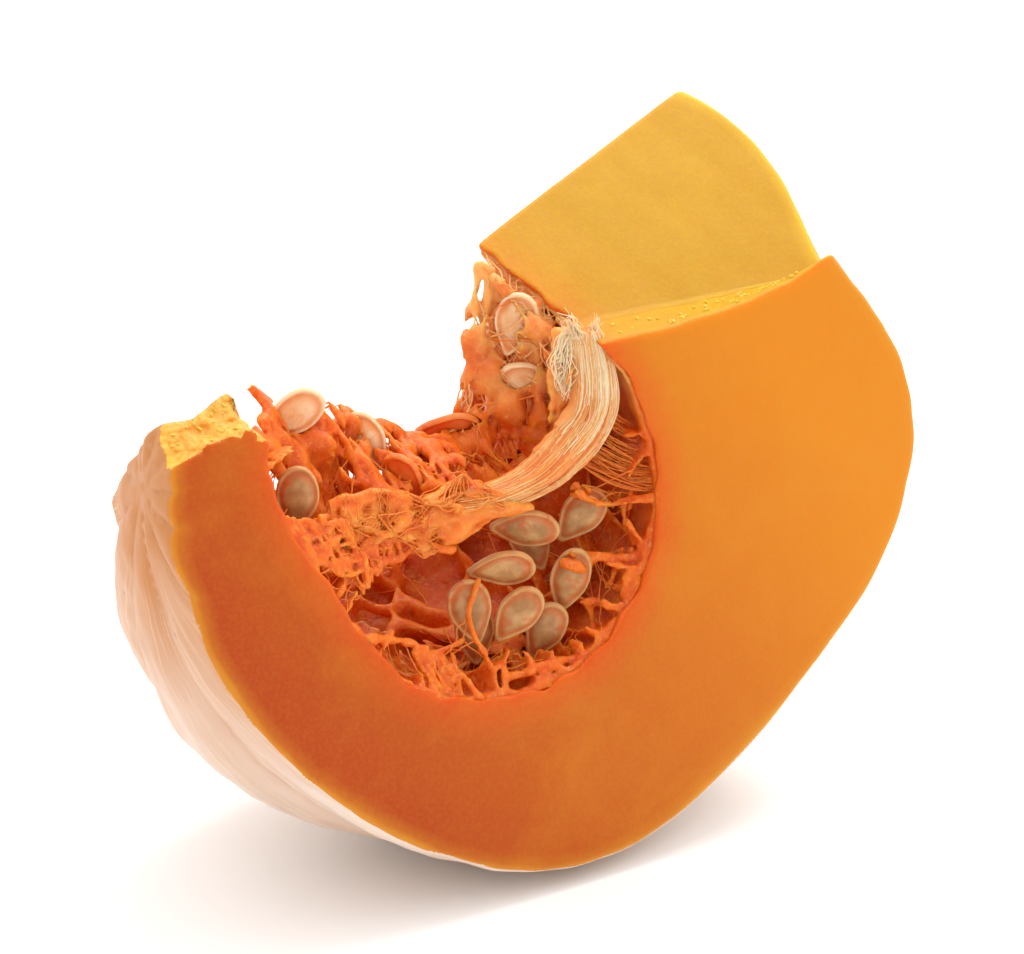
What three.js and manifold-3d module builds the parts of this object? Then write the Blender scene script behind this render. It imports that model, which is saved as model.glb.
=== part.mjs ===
// A cut piece of a ribbed kabocha squash lying on its rind, with its pulp and seeds.
// Everything is drawn in the frame of the front cut: x runs along the cut from the left tip to the right one,
// y goes back into the squash and z up the cut. A last turn and shift stand the piece on the table.
import * as THREE from "three";
import { mergeVertices } from "three/addons/utils/BufferGeometryUtils.js";
import Module from "manifold-3d";

const wasm = await Module();
wasm.setup();

// Driving dimensions, in millimetres and degrees.
const FAR = 260; // how far the knife's blocks reach
const CUT_TURN = 33.6; // the front cut's turn to the right, about the upright
const CUT_LEAN = 6.9; // the front cut leans back from the upright
const CUT_HEIGHT = 112.9; // the cut frame's origin above the table
const SQUASH_CENTRE = [0, 24, 0];
const SQUASH_RADIUS = 109;
const RIB_COUNT = 11;
const RIB_DEPTH = 4.5;
const RIB_LEAST = 0.2; // the grooves fade to this share of their depth towards the right
const RIB_POLE = [-110, -9, 10]; // towards the left pole, from the squash's centre
const HOLLOW_CENTRE = [-28, 24, -2];
const HOLLOW_RADIUS = 56;
const PULP_CLEARANCE = 0.35; // pulp and seeds stay this far from the flesh and from each other
const SEED = { length: 18.5, width: 11, thickness: 3.4 };

// Points that the rind passes through: round the front cut, round the top cut, and the left side.
const RIND_POINTS = [
  [91, 0, 43], [104, 0, 28], [115.5, 0, 9.5], [119.5, 0, -8], [116, 0, -24.5], [103.5, 0, -48],
  [84.5, 0, -67.5], [59, 0, -84.5], [37.5, 0, -98], [10, 0, -108], [-18.5, 0, -105.5], [-48, 0, -93],
  [-67.5, 0, -79], [-83, 0, -62], [-98, 0, -42.5], [-108, 0, -20], [-110.5, 0, 0.5], [-110, 0, 17.5],
  [87, 61, 85.5], [98.5, 55.5, 79.5], [106, 45.5, 68.5], [106.5, 38, 60], [104.5, 30.5, 52], [98.5, 23, 43.5],
  [-94, 66, 0], [-98, 64, -12], [-99.5, 58, -34.5], [-92.5, 46, -61.5], [-76, 31.5, -81],
  [44, 46, -109.5], [14, 38, -112], [66, 40, -100],
  [0, 132, 0], [-60, 112, -30], [55, 118, -40], [0, 24, 130], [-70, 50, 70],
];

// Points of the hollow's wall: round the front cut, along the top cut, and behind.
const HOLLOW_POINTS = [
  [-85, 0, 14], [-79.5, 0, 2.5], [-74, 0, -11], [-66.5, 0, -22.5], [-60.5, 0, -34], [-52.5, 0, -43.5],
  [-41.5, 0, -52.5], [-24, 0, -56.5], [-12, 0, -57.5], [4.5, 0, -53], [14.5, 0, -44.5], [23, 0, -35.5],
  [27, 0, -25], [29, 0, -12], [29, 0, -1], [25, 0, 12.5], [19, 0, 21.5], [13.5, 0, 29],
  [1, 34.5, 55], [0.5, 30.5, 50.5], [5, 27, 46.5], [8, 23, 42.5], [12.5, 18.5, 37.5],
  [-86, 12, 29], [-82.5, 5.5, 21.5], [-28, 78, 0], [-28, 70, -34], [-28, 24, 62],
];

// The ledge along the top of the front cut: x, its height at the front, and its height LEDGE_DEPTH behind.
const LEDGE_DEPTH = 14;
const LEDGE_START = 6; // the ledge's slope runs from this far in front of the front cut
const LEDGE_END = 24; // and to this far behind it
const LEDGE = [
  [-140, 13, 11], [-110, 17.5, 17], [-97, 22.5, 24], [-88, 23, 24], [-78, 16, 20], [0, 26, 31],
  [13.5, 29, 32.5], [39, 30.5, 33], [62.5, 33.5, 33.5], [76.5, 37, 34], [91.5, 43, 34.5], [140, 55, 36],
];

// The bright top cut rises behind the ledge. The back cut meets it along BACK_EDGE, points with the cut's lean
// from the upright there: it slopes further back at the left, where the rind shows behind the front cut.
const TOP_POINT = [54, 14, 33.3];
const TOP_NORMAL = [-0.0102, -0.7372, 0.6756];
const BACK_EDGE = [
  [-150, -5.5, 9.5, 62], [-113, 20, 21.5, 62], [-98, 10, 26.5, 54], [-83.5, 15, 32, 45], [-60, 20.5, 38.5, 35],
  [1, 34.5, 55, 29], [87, 61, 85.5, 29], [150, 80.5, 108, 29],
];
const BACK_STEPS = [60, 0, -30, -60, -100, -140, -FAR]; // heights above that edge where the back cut has points

function rng(seed) {
  let a = seed;
  return () => {
    a = (a + 0x6d2b79f5) | 0;
    let t = Math.imul(a ^ (a >>> 15), 1 | a);
    t = (t + Math.imul(t ^ (t >>> 7), 61 | t)) ^ t;
    return ((t ^ (t >>> 14)) >>> 0) / 4294967296;
  };
}

const vec = (p) => new THREE.Vector3(...p);
const rad = THREE.MathUtils.degToRad;

// A geometry as a solid, whichever way its faces were wound.
function solid(geometry) {
  const bare = geometry.clone();
  for (const name of Object.keys(bare.attributes)) if (name !== "position") bare.deleteAttribute(name);
  const merged = mergeVertices(bare, 1e-4);
  const index = merged.index.array;
  const p = merged.attributes.position;
  const [a, b, c] = [new THREE.Vector3(), new THREE.Vector3(), new THREE.Vector3()];
  let volume = 0;
  for (let i = 0; i < index.length; i += 3) {
    a.fromBufferAttribute(p, index[i]);
    b.fromBufferAttribute(p, index[i + 1]);
    c.fromBufferAttribute(p, index[i + 2]);
    volume += a.dot(b.cross(c));
  }
  const triVerts = new Uint32Array(index);
  if (volume < 0)
    for (let i = 0; i < triVerts.length; i += 3)
      [triVerts[i + 1], triVerts[i + 2]] = [triVerts[i + 2], triVerts[i + 1]];
  return new wasm.Manifold(new wasm.Mesh({ numProp: 3, vertProperties: p.array, triVerts }));
}

function geometryOf(manifold) {
  const mesh = manifold.getMesh();
  const geometry = new THREE.BufferGeometry();
  geometry.setAttribute("position", new THREE.BufferAttribute(new Float32Array(mesh.vertProperties), 3));
  geometry.setIndex(new THREE.BufferAttribute(new Uint32Array(mesh.triVerts), 1));
  geometry.computeVertexNormals();
  return geometry;
}

const join = (solids) => solids.reduce((a, b) => a.add(b));
const largest = (s) => s.decompose().reduce((a, b) => (b.volume() > a.volume() ? b : a));

// A closed shape round a centre that passes smoothly through the given points: its radius in any direction is
// the mean radius plus one soft bump for each point.
function roundShape(centre, mean, points, spread) {
  const c = vec(centre);
  const dirs = points.map((p) => vec(p).sub(c));
  const wanted = dirs.map((d) => d.length() - mean);
  dirs.forEach((d) => d.normalize());
  const bump = (d, e) => Math.exp(-0.5 * (Math.acos(THREE.MathUtils.clamp(d.dot(e), -1, 1)) / rad(spread)) ** 2);
  const n = points.length;
  const m = dirs.map((d, i) => [...dirs.map((e, j) => bump(d, e) + (i === j ? 0.02 : 0)), wanted[i]]);
  for (let k = 0; k < n; k++) {
    for (let i = k + 1; i < n; i++) {
      const f = m[i][k] / m[k][k];
      for (let j = k; j <= n; j++) m[i][j] -= f * m[k][j];
    }
  }
  const weight = new Array(n).fill(0);
  for (let k = n - 1; k >= 0; k--) {
    let rest = m[k][n];
    for (let j = k + 1; j < n; j++) rest -= m[k][j] * weight[j];
    weight[k] = rest / m[k][k];
  }
  return (d) => mean + dirs.reduce((sum, e, i) => sum + weight[i] * bump(d, e), 0);
}

const rindRadius = roundShape(SQUASH_CENTRE, SQUASH_RADIUS, RIND_POINTS, 22);
const hollowRadius = roundShape(HOLLOW_CENTRE, HOLLOW_RADIUS, HOLLOW_POINTS, 24);

// The groove between ribs, as a depth below the rind for a direction from the squash's centre.
const pole = vec(RIB_POLE).normalize();
const down = new THREE.Vector3(0, 0, -1).addScaledVector(pole, pole.z).normalize();
const back = new THREE.Vector3().crossVectors(pole, down);
function groove(d) {
  const turn = Math.atan2(d.dot(back), d.dot(down));
  const across = Math.sqrt(Math.max(0, 1 - d.dot(pole) ** 2));
  const shallow = THREE.MathUtils.clamp(0.55 - d.x, RIB_LEAST, 1);
  return RIB_DEPTH * shallow * (1 - Math.abs(Math.sin((RIB_COUNT * turn) / 2))) ** 1.4 * across ** 0.7;
}

// A ball whose surface stands at radius(direction) from its centre.
function ball(centre, radius, detail) {
  const g = new THREE.IcosahedronGeometry(1, detail);
  const p = g.attributes.position;
  const d = new THREE.Vector3();
  for (let i = 0; i < p.count; i++) {
    d.fromBufferAttribute(p, i).normalize();
    d.multiplyScalar(radius(d.clone()));
    p.setXYZ(i, d.x + centre[0], d.y + centre[1], d.z + centre[2]);
  }
  return solid(g);
}

// A knife's cut: a block with one face through the given lines, all with the same number of points, and its
// other face well away from it.
function cutBlock(lines, away) {
  const positions = [];
  const index = [];
  const ring = 2 * lines[0].length;
  for (const line of lines) {
    const near = line.map(vec);
    const far = near.map((v) => v.clone().add(away)).reverse();
    for (const v of [...near, ...far]) positions.push(v.x, v.y, v.z);
  }
  for (let i = 0; i < lines.length - 1; i++) {
    for (let k = 0; k < ring; k++) {
      const [a, b] = [ring * i + k, ring * i + ((k + 1) % ring)];
      index.push(a, b, b + ring, a, b + ring, a + ring);
    }
  }
  const last = ring * (lines.length - 1);
  for (let k = 1; k < ring - 1; k++) index.push(0, k + 1, k, last, last + k, last + k + 1);
  const g = new THREE.BufferGeometry();
  g.setAttribute("position", new THREE.Float32BufferAttribute(positions, 3));
  g.setIndex(index);
  return solid(g);
}

// The cuts.
const frontCut = cutBlock(
  [-FAR, FAR].map((x) => [[x, 0, -FAR], [x, 0, FAR]]),
  new THREE.Vector3(0, -FAR, 0),
);
const topSlope = -TOP_NORMAL[1] / TOP_NORMAL[2];
const topHeight = (x, y) =>
  TOP_POINT[2] + topSlope * (y - TOP_POINT[1]) - (TOP_NORMAL[0] / TOP_NORMAL[2]) * (x - TOP_POINT[0]);
const aboveTop = cutBlock(
  [-FAR, FAR].map((x) => [[x, -60, topHeight(x, -60)], [x, 200, topHeight(x, 200)]]),
  new THREE.Vector3(0, 0, FAR),
);
const aboveLedge = cutBlock(
  LEDGE.map(([x, front, rear]) => {
    const rise = (rear - front) / LEDGE_DEPTH;
    const end = LEDGE_END * rise + front;
    return [[x, -LEDGE_START, front - LEDGE_START * rise], [x, LEDGE_END, end], [x, FAR, end]];
  }),
  new THREE.Vector3(0, 0, FAR),
);
const backCut = cutBlock(
  BACK_EDGE.map(([x, y, z, lean]) => BACK_STEPS.map((step) => [x, y - step * Math.tan(rad(lean)), z + step])),
  new THREE.Vector3(0, FAR, 0),
);
const tilt = Math.tan(rad(CUT_LEAN));
const drop = CUT_HEIGHT / Math.cos(rad(CUT_LEAN));
const tableCut = cutBlock(
  [-FAR, FAR].map((x) => [[x, -FAR, -drop - FAR * tilt], [x, FAR, -drop + FAR * tilt]]),
  new THREE.Vector3(0, 0, -FAR),
);

function flesh() {
  const whole = ball(SQUASH_CENTRE, (d) => rindRadius(d) - groove(d), 17);
  const hollow = ball(HOLLOW_CENTRE, hollowRadius, 9);
  const cuts = [frontCut, aboveTop.intersect(aboveLedge), backCut, tableCut, hollow];
  return largest(cuts.reduce((piece, cut) => piece.subtract(cut), whole));
}

// One seed: a flat pointed oval with a softened edge. grow makes it larger all round.
function seed([x, y, z, roll, pitch, yaw], grow = 0) {
  const l = SEED.length / 2;
  const w = SEED.width / 2;
  const bevel = SEED.thickness / 3;
  const outline = new THREE.Shape();
  outline.moveTo(-l, 0);
  outline.quadraticCurveTo(-0.45 * l, -w, 0.1 * l, -w);
  outline.quadraticCurveTo(0.9 * l, -0.95 * w, l, 0);
  outline.quadraticCurveTo(0.9 * l, 0.95 * w, 0.1 * l, w);
  outline.quadraticCurveTo(-0.45 * l, w, -l, 0);
  const g = new THREE.ExtrudeGeometry(outline, {
    depth: bevel + 2 * grow,
    bevelEnabled: true,
    bevelThickness: bevel,
    bevelSize: 1.2,
    bevelOffset: -1.2 + grow,
    bevelSegments: 1,
    curveSegments: 4,
  });
  g.translate(0, 0, -(bevel + 2 * grow) / 2);
  g.rotateX(Math.PI / 2);
  g.rotateY(-rad(roll));
  g.rotateX(rad(pitch));
  g.rotateZ(rad(yaw));
  g.translate(x, y, z);
  return solid(g);
}

// Seeds by where they sit: x, y, z, then roll in the cut's plane, nod and turn. The first nine are the cluster.
const SEEDS = {
  seed_01: [12.7, 13, -18, 48, 8, -30],
  seed_02: [-6.1, 11, -17.5, -8, 22, -34],
  seed_03: [-14.7, 10, -26.5, 3, 30, -34],
  seed_04: [-23.5, 12, -36.5, 100, 5, -28],
  seed_05: [-12, 8.5, -39, 50, 12, -30],
  seed_06: [5.8, 9.5, -33.5, 70, 8, -40],
  seed_07: [-1.2, 12.5, -46.5, 60, 12, -34],
  seed_08: [4, 24.5, -25, 110, 0, -34],
  seed_09: [-18, 20, -45, 90, 10, -30],
  seed_10: [-71, 12, 1.5, 84, 8, -30],
  seed_11: [-64.8, 22, 20.4, 38, 20, -25],
  seed_12: [-42, 27, 9, 118, 10, -35],
  seed_13: [-36, 19, -1.5, 95, 25, -60],
  seed_14: [-12.5, 35, 7, 5, 50, -30],
  seed_15: [8, 26, 17, 150, 30, -30],
  seed_16: [4.5, 25.5, 33, 70, 15, -40],
  seed_17: [-30, 30, -14, 70, 40, -20],
  seed_18: [-54, 40, -3, 35, 35, -10],
};

// A strand from point to point, thinner in the middle, with a sag and small bends.
function strand(points, radius, sides = 4) {
  const curve = new THREE.CatmullRomCurve3(points.map((p) => vec(p)));
  const section = new THREE.Shape();
  for (let i = 0; i < sides; i++) {
    const a = (2 * Math.PI * i) / sides;
    if (i === 0) section.moveTo(radius, 0);
    else section.lineTo(radius * Math.cos(a), radius * Math.sin(a));
  }
  section.closePath();
  return solid(
    new THREE.ExtrudeGeometry(section, {
      steps: points.length,
      bevelEnabled: false,
      extrudePath: curve,
    }),
  );
}

// A torn sheet between three points.
function sheet(a, b, c, thickness) {
  const [p, q, r] = [vec(a), vec(b), vec(c)];
  const normal = q.clone().sub(p).cross(r.clone().sub(p)).setLength(thickness / 2);
  const shift = (v) => v.clone().add(normal).toArray();
  return cutBlock([[shift(p), shift(q)], [shift(r), shift(r)]].map(([s, t]) => [s, t]), normal.multiplyScalar(-2));
}

function knot(point, radius) {
  const g = new THREE.OctahedronGeometry(radius * 1.25);
  g.translate(...point);
  return solid(g);
}

// A web: knots joined by bent strands, with torn sheets between some of them. grow thickens all of it.
function web({ knots, strands, sheets, radius, bend, seedNumber }, grow = 0) {
  const random = rng(seedNumber);
  const parts = Object.values(knots).map((k) => knot(k, radius * 1.7 + grow));
  for (const [from, to] of strands) {
    const [a, b] = [vec(knots[from]), vec(knots[to])];
    const middle = [1 / 3, 2 / 3].map((t) =>
      a.clone().lerp(b, t).add(new THREE.Vector3(random() - 0.5, random() - 0.5, random() - 0.8).multiplyScalar(bend)),
    );
    parts.push(strand([a.toArray(), ...middle.map((m) => m.toArray()), b.toArray()], radius + grow));
  }
  for (const [a, b, c] of sheets) {
    const corners = [knots[a], knots[b], knots[c]];
    const mid = corners.reduce((m, p) => m.add(vec(p)), new THREE.Vector3()).divideScalar(3);
    const grown = corners.map((p) => vec(p).sub(mid).multiplyScalar(1 + grow / 8).add(mid).toArray());
    parts.push(sheet(...grown, 1.1 + 2 * grow));
  }
  return join(parts);
}

// The fibrous band that hangs from the right of the hollow's mouth to its left side.
const BAND = [
  [11, 9, 32.5], [15, 6, 27], [17.5, 5, 20], [16, 5, 12], [11.5, 6, 4.5], [3, 8, -2], [-8, 9.5, -5.5],
  [-20, 10, -6.5], [-32, 10, -5.5], [-44, 10, -5],
];
function band(grow = 0) {
  const curve = new THREE.CatmullRomCurve3(BAND.map((p) => vec(p)));
  const [w, t] = [5.2 + grow, 1.7 + grow];
  const section = new THREE.Shape();
  section.moveTo(-t, -w * 0.75);
  section.lineTo(0, -w);
  section.lineTo(t, -w * 0.75);
  section.lineTo(t, w * 0.75);
  section.lineTo(0, w);
  section.lineTo(-t, w * 0.75);
  section.closePath();
  const ribbon = solid(new THREE.ExtrudeGeometry(section, { steps: 22, bevelEnabled: false, extrudePath: curve }));
  const tassel = [
    [[-26, 10, -6], [-28, 9, -13], [-25, 8, -19]],
    [[-33, 10, -6], [-36, 9, -12], [-38, 8, -17]],
    [[12, 8, 31], [10, 12, 36], [8, 14, 39]],
    [[15, 6, 24], [10, 11, 14], [6, 14, 4]],
  ].map((points) => strand(points, 1.2 + grow));
  return join([ribbon, ...tassel]);
}

// The net that lines the hollow's front: left pocket, floor and right side.
const FRONT_WEB = {
  knots: {
    l1: [-87, 6, 9], l2: [-80, 8, -3], l3: [-74, 6, -14], l4: [-68, 9, -27], l5: [-58, 6, -40],
    f1: [-47, 7, -51], f2: [-33, 6, -57], f3: [-18, 8, -60], f4: [-3, 6, -58], f5: [10, 7, -52],
    r1: [21, 6, -42], r2: [28, 8, -30], r3: [32, 6, -16], r4: [32, 9, -2], r5: [28, 10, 10],
    a: [-66, 11, -6], b: [-58, 13, -16], c: [-50, 12, -29], d: [-40, 13, -42], e: [-27, 12, -51],
    g: [-12, 14, -53], h: [10, 14, -44], i: [18, 15, -30], j: [22, 14, -14], k: [23, 12, 1],
    m: [-50, 14, -11], n: [-42, 16, -18], o: [-36, 13, -28], p: [-33, 14, -38], q: [-60, 12, -2],
  },
  strands: [
    ["l1", "a"], ["l2", "a"], ["l3", "b"], ["l4", "c"], ["l5", "d"], ["f1", "d"], ["f2", "e"], ["f3", "g"],
    ["f4", "g"], ["r1", "i"], ["r2", "i"], ["r3", "j"], ["r4", "k"], ["r5", "k"], ["a", "b"],
    ["b", "c"], ["c", "d"], ["d", "e"], ["e", "g"], ["g", "h"], ["h", "i"], ["i", "j"], ["j", "k"],
    ["a", "q"], ["q", "m"], ["m", "n"], ["b", "m"], ["c", "n"], ["n", "o"], ["c", "o"], ["o", "p"],
    ["p", "d"], ["p", "e"], ["g", "f5"], ["f5", "h"], ["f4", "f5"],
  ],
  sheets: [
    ["l2", "l3", "b"], ["l4", "c", "b"], ["l5", "f1", "d"], ["f2", "f3", "e"], ["f4", "f5", "h"],
    ["r1", "r2", "i"], ["r3", "r4", "j"], ["b", "m", "c"], ["c", "d", "p"], ["a", "q", "l1"],
  ],
  radius: 1.1,
  bend: 4,
  seedNumber: 11,
};

// The mass behind: it hangs from the mouth's back right edge and runs to the left wall.
const BACK_WEB = {
  knots: {
    a: [0, 31, 49], b: [4, 27, 41], c: [8, 23, 35], d: [-5, 33, 37], e: [-1, 30, 29], g: [2, 31, 20],
    h: [-8, 34, 26], i: [-8, 33, 16], j: [-4, 30, 8], k: [-16, 33, 10], l: [-22, 30, 2], m: [-30, 33, 4],
    n: [-36, 30, 12], o: [-44, 33, 15], p: [-52, 28, 14], q: [-60, 28, 20], r: [-72, 24, 18], s: [-84, 20, 16],
    t: [-86, 14, 22], u: [-76, 18, 26], v: [-56, 34, 6], w: [-44, 36, -4], x: [-28, 38, -8], y: [-10, 38, -6],
    z: [8, 34, -2], z2: [26, 30, 0], z3: [-70, 40, 0], z4: [-60, 54, -20], z5: [-28, 60, -32], z6: [10, 52, -28],
    z7: [-40, 46, -22], z8: [-6, 46, -22], z9: [28, 28, 12],
  },
  strands: [
    ["a", "b"], ["b", "c"], ["a", "d"], ["b", "e"], ["d", "e"], ["c", "g"], ["e", "g"], ["d", "h"], ["h", "i"],
    ["g", "i"], ["i", "j"], ["i", "k"], ["j", "l"], ["k", "l"], ["k", "m"], ["l", "m"], ["m", "n"], ["n", "o"],
    ["o", "p"], ["p", "q"], ["q", "r"], ["r", "s"], ["s", "t"], ["t", "u"], ["u", "r"], ["o", "v"], ["v", "w"],
    ["w", "x"], ["m", "x"], ["x", "y"], ["j", "y"], ["y", "z"], ["z", "z2"], ["v", "z3"], ["z3", "z4"],
    ["w", "z7"], ["z7", "z4"], ["z7", "z5"], ["x", "z7"], ["y", "z8"], ["z8", "z6"], ["z8", "z5"], ["z", "z9"],
  ],
  sheets: [
    ["a", "b", "d"], ["b", "e", "d"], ["c", "g", "e"], ["d", "h", "e"], ["i", "j", "k"], ["k", "l", "m"],
    ["m", "n", "o"], ["o", "p", "v"], ["q", "r", "u"], ["v", "w", "o"], ["w", "x", "m"], ["x", "y", "l"],
    ["z7", "w", "x"], ["z8", "y", "z"], ["s", "t", "r"],
  ],
  radius: 1.3,
  bend: 5,
  seedNumber: 23,
};

const FINISH = {
  flesh: new THREE.MeshStandardMaterial({ color: 0xe8862a, roughness: 0.55, metalness: 0 }),
  pulp: new THREE.MeshStandardMaterial({ color: 0xe2662a, roughness: 0.5, metalness: 0 }),
  band: new THREE.MeshStandardMaterial({ color: 0xf0b070, roughness: 0.6, metalness: 0 }),
  seed: new THREE.MeshStandardMaterial({ color: 0xc4a37a, roughness: 0.6, metalness: 0 }),
};

const cutFrame = new THREE.Group();

function place(name, manifold, material) {
  const mesh = new THREE.Mesh(geometryOf(manifold), material);
  mesh.name = name;
  cutFrame.add(mesh);
}

place("flesh", flesh(), FINISH.flesh);

// Pulp stays inside the hollow, clear of its wall, of the seeds and of the table.
const room = ball(HOLLOW_CENTRE, (d) => hollowRadius(d) - PULP_CLEARANCE - 0.4, 9);
const seedsGrown = join(Object.values(SEEDS).map((s) => seed(s, PULP_CLEARANCE)));
const bandSolid = band();
const bandGrown = band(PULP_CLEARANCE);
const frontWeb = web(FRONT_WEB);
const frontGrown = web(FRONT_WEB, PULP_CLEARANCE);
const backWeb = web(BACK_WEB);

place("pulp_band", largest(bandSolid.intersect(room).subtract(seedsGrown)), FINISH.band);
place("pulp_front", largest(frontWeb.intersect(room).subtract(seedsGrown).subtract(bandGrown)), FINISH.pulp);
place(
  "pulp_back",
  largest(backWeb.intersect(room).subtract(seedsGrown).subtract(bandGrown).subtract(frontGrown)),
  FINISH.pulp,
);
for (const [name, where] of Object.entries(SEEDS)) place(name, seed(where), FINISH.seed);

// Stand the piece on the table, with its origin under the middle of its box.
cutFrame.rotation.set(-rad(CUT_LEAN), 0, rad(CUT_TURN), "ZYX");
cutFrame.position.z = CUT_HEIGHT;
const stand = new THREE.Group();
stand.add(cutFrame);
stand.updateMatrixWorld(true);
const box = new THREE.Box3().setFromObject(stand, true);
const middle = box.getCenter(new THREE.Vector3());
cutFrame.position.x -= middle.x;
cutFrame.position.y -= middle.y;
cutFrame.position.z -= box.min.z;

const squashPiece = new THREE.Group();
squashPiece.add(stand);
export default squashPiece;
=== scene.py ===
import math
import bmesh
import bpy
import numpy as np
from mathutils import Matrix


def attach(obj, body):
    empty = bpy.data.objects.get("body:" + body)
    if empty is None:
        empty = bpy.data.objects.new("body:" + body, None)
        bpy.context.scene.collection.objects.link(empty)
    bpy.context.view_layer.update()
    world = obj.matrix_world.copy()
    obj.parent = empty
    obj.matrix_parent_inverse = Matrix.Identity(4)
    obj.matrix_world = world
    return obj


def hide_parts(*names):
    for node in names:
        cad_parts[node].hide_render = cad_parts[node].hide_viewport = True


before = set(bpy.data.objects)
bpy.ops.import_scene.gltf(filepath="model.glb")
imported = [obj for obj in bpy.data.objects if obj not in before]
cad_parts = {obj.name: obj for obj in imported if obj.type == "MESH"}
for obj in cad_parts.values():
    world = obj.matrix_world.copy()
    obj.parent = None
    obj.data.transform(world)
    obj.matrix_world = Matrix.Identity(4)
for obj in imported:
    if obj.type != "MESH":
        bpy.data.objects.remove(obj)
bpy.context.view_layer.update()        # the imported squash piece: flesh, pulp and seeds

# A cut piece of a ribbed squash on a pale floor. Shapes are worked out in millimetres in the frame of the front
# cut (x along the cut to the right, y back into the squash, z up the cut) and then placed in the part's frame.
import openvdb
from mathutils import Matrix, Vector

# Sizes shared with the solids, in millimetres and degrees.
CUT_TURN = 33.6
CUT_LEAN = 6.9
CUT_ORIGIN = (7.815, -37.299, 112.9)
SQUASH_CENTRE = np.array([0.0, 24.0, 0.0])
SQUASH_RADIUS = 109.0
RIND_SPREAD = 22.0
RIB_COUNT = 11
RIB_DEPTH = 4.5
RIB_LEAST = 0.2     # the grooves fade to this share of their depth towards the right
RIB_POLE = np.array([-110.0, -9.0, 10.0])
HOLLOW_CENTRE = np.array([-28.0, 24.0, -2.0])
HOLLOW_RADIUS = 56.0
HOLLOW_SPREAD = 24.0
SEED_LENGTH = 18.5
SEED_WIDTH = 11.0
SEED_THICKNESS = 3.4

RIND_POINTS = [
    (91, 0, 43), (104, 0, 28), (115.5, 0, 9.5), (119.5, 0, -8), (116, 0, -24.5), (103.5, 0, -48),
    (84.5, 0, -67.5), (59, 0, -84.5), (37.5, 0, -98), (10, 0, -108), (-18.5, 0, -105.5), (-48, 0, -93),
    (-67.5, 0, -79), (-83, 0, -62), (-98, 0, -42.5), (-108, 0, -20), (-110.5, 0, 0.5), (-110, 0, 17.5),
    (87, 61, 85.5), (98.5, 55.5, 79.5), (106, 45.5, 68.5), (106.5, 38, 60), (104.5, 30.5, 52),
    (98.5, 23, 43.5), (-94, 66, 0), (-98, 64, -12), (-99.5, 58, -34.5), (-92.5, 46, -61.5),
    (-76, 31.5, -81), (44, 46, -109.5), (14, 38, -112), (66, 40, -100),
    (0, 132, 0), (-60, 112, -30), (55, 118, -40), (0, 24, 130), (-70, 50, 70),
]
HOLLOW_POINTS = [
    (-85, 0, 14), (-79.5, 0, 2.5), (-74, 0, -11), (-66.5, 0, -22.5), (-60.5, 0, -34), (-52.5, 0, -43.5),
    (-41.5, 0, -52.5), (-24, 0, -56.5), (-12, 0, -57.5), (4.5, 0, -53), (14.5, 0, -44.5), (23, 0, -35.5),
    (27, 0, -25), (29, 0, -12), (29, 0, -1), (25, 0, 12.5), (19, 0, 21.5), (13.5, 0, 29),
    (1, 34.5, 55), (0.5, 30.5, 50.5), (5, 27, 46.5), (8, 23, 42.5), (12.5, 18.5, 37.5),
    (-86, 12, 29), (-82.5, 5.5, 21.5), (-28, 78, 0), (-28, 70, -34), (-28, 24, 62),
]
# The ledge along the top of the front cut: x, its height at the front, its height LEDGE_DEPTH behind.
LEDGE_DEPTH = 14.0
LEDGE_SPAN = (-6.0, 24.0)
LEDGE = np.array([
    (-140, 13, 11), (-110, 17.5, 17), (-97, 22.5, 24), (-88, 23, 24), (-78, 16, 20), (0, 26, 31),
    (13.5, 29, 32.5), (39, 30.5, 33), (62.5, 33.5, 33.5), (76.5, 37, 34), (91.5, 43, 34.5), (140, 55, 36),
], float)
TOP_POINT = (54.0, 14.0, 33.3)
TOP_NORMAL = (-0.0102, -0.7372, 0.6756)
# The back cut meets the top cut along these points: x, y, z and the cut's lean from upright.
BACK_EDGE = np.array([
    (-150, -5.5, 9.5, 62), (-113, 20, 21.5, 62), (-98, 10, 26.5, 54), (-83.5, 15, 32, 45),
    (-60, 20.5, 38.5, 35), (1, 34.5, 55, 29), (87, 61, 85.5, 29), (150, 80.5, 108, 29),
], float)

# Sizes of the finish, in millimetres.
CELL = 2.5          # mesh size of the knife's cuts
EDGE_ZONE = 2.4     # the mesh is refined this near to an edge
EDGE_CELL = 0.9
EDGE_SOFT = 1.7     # blend that softens the cut edges
ROUGH_END = -79.0   # left of this the upper cut is torn and grainy
FAR = 260.0
VOXEL = 0.55        # cell of the grid that the pulp is modelled in
MERGE = 0.35        # how freely flat faces of the pulp are merged, 0 to 1

TO_PART = (
    Matrix.Translation(Vector(CUT_ORIGIN) / 1000)
    @ Matrix.Rotation(math.radians(CUT_TURN), 4, "Z")
    @ Matrix.Rotation(-math.radians(CUT_LEAN), 4, "X")
    @ Matrix.Scale(0.001, 4)
)
UP = np.array(TO_PART.to_3x3())[2] * 1000   # the table's upward direction in the cut frame


def soft_min(a, b, blend):
    """The lesser of two distances, with a fillet between them."""
    return np.minimum(a, b) - np.maximum(blend - np.abs(a - b), 0) ** 2 / (4 * blend)


def soft_max(a, b, blend):
    return -soft_min(-a, -b, blend)


def ripple(p, size, seed, layers=7):
    """Smooth unevenness from -1 to 1 or so, with bumps of about the given size."""
    random = np.random.default_rng(seed)
    total = np.zeros(p.shape[:-1], p.dtype)
    for _ in range(layers):
        way = random.normal(size=3)
        way *= 2 * math.pi / (size * random.uniform(1.2, 2.6)) / np.linalg.norm(way)
        total += np.sin(p @ way.astype(p.dtype) + random.uniform(0, 2 * math.pi))
    return total / math.sqrt(layers)


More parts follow.
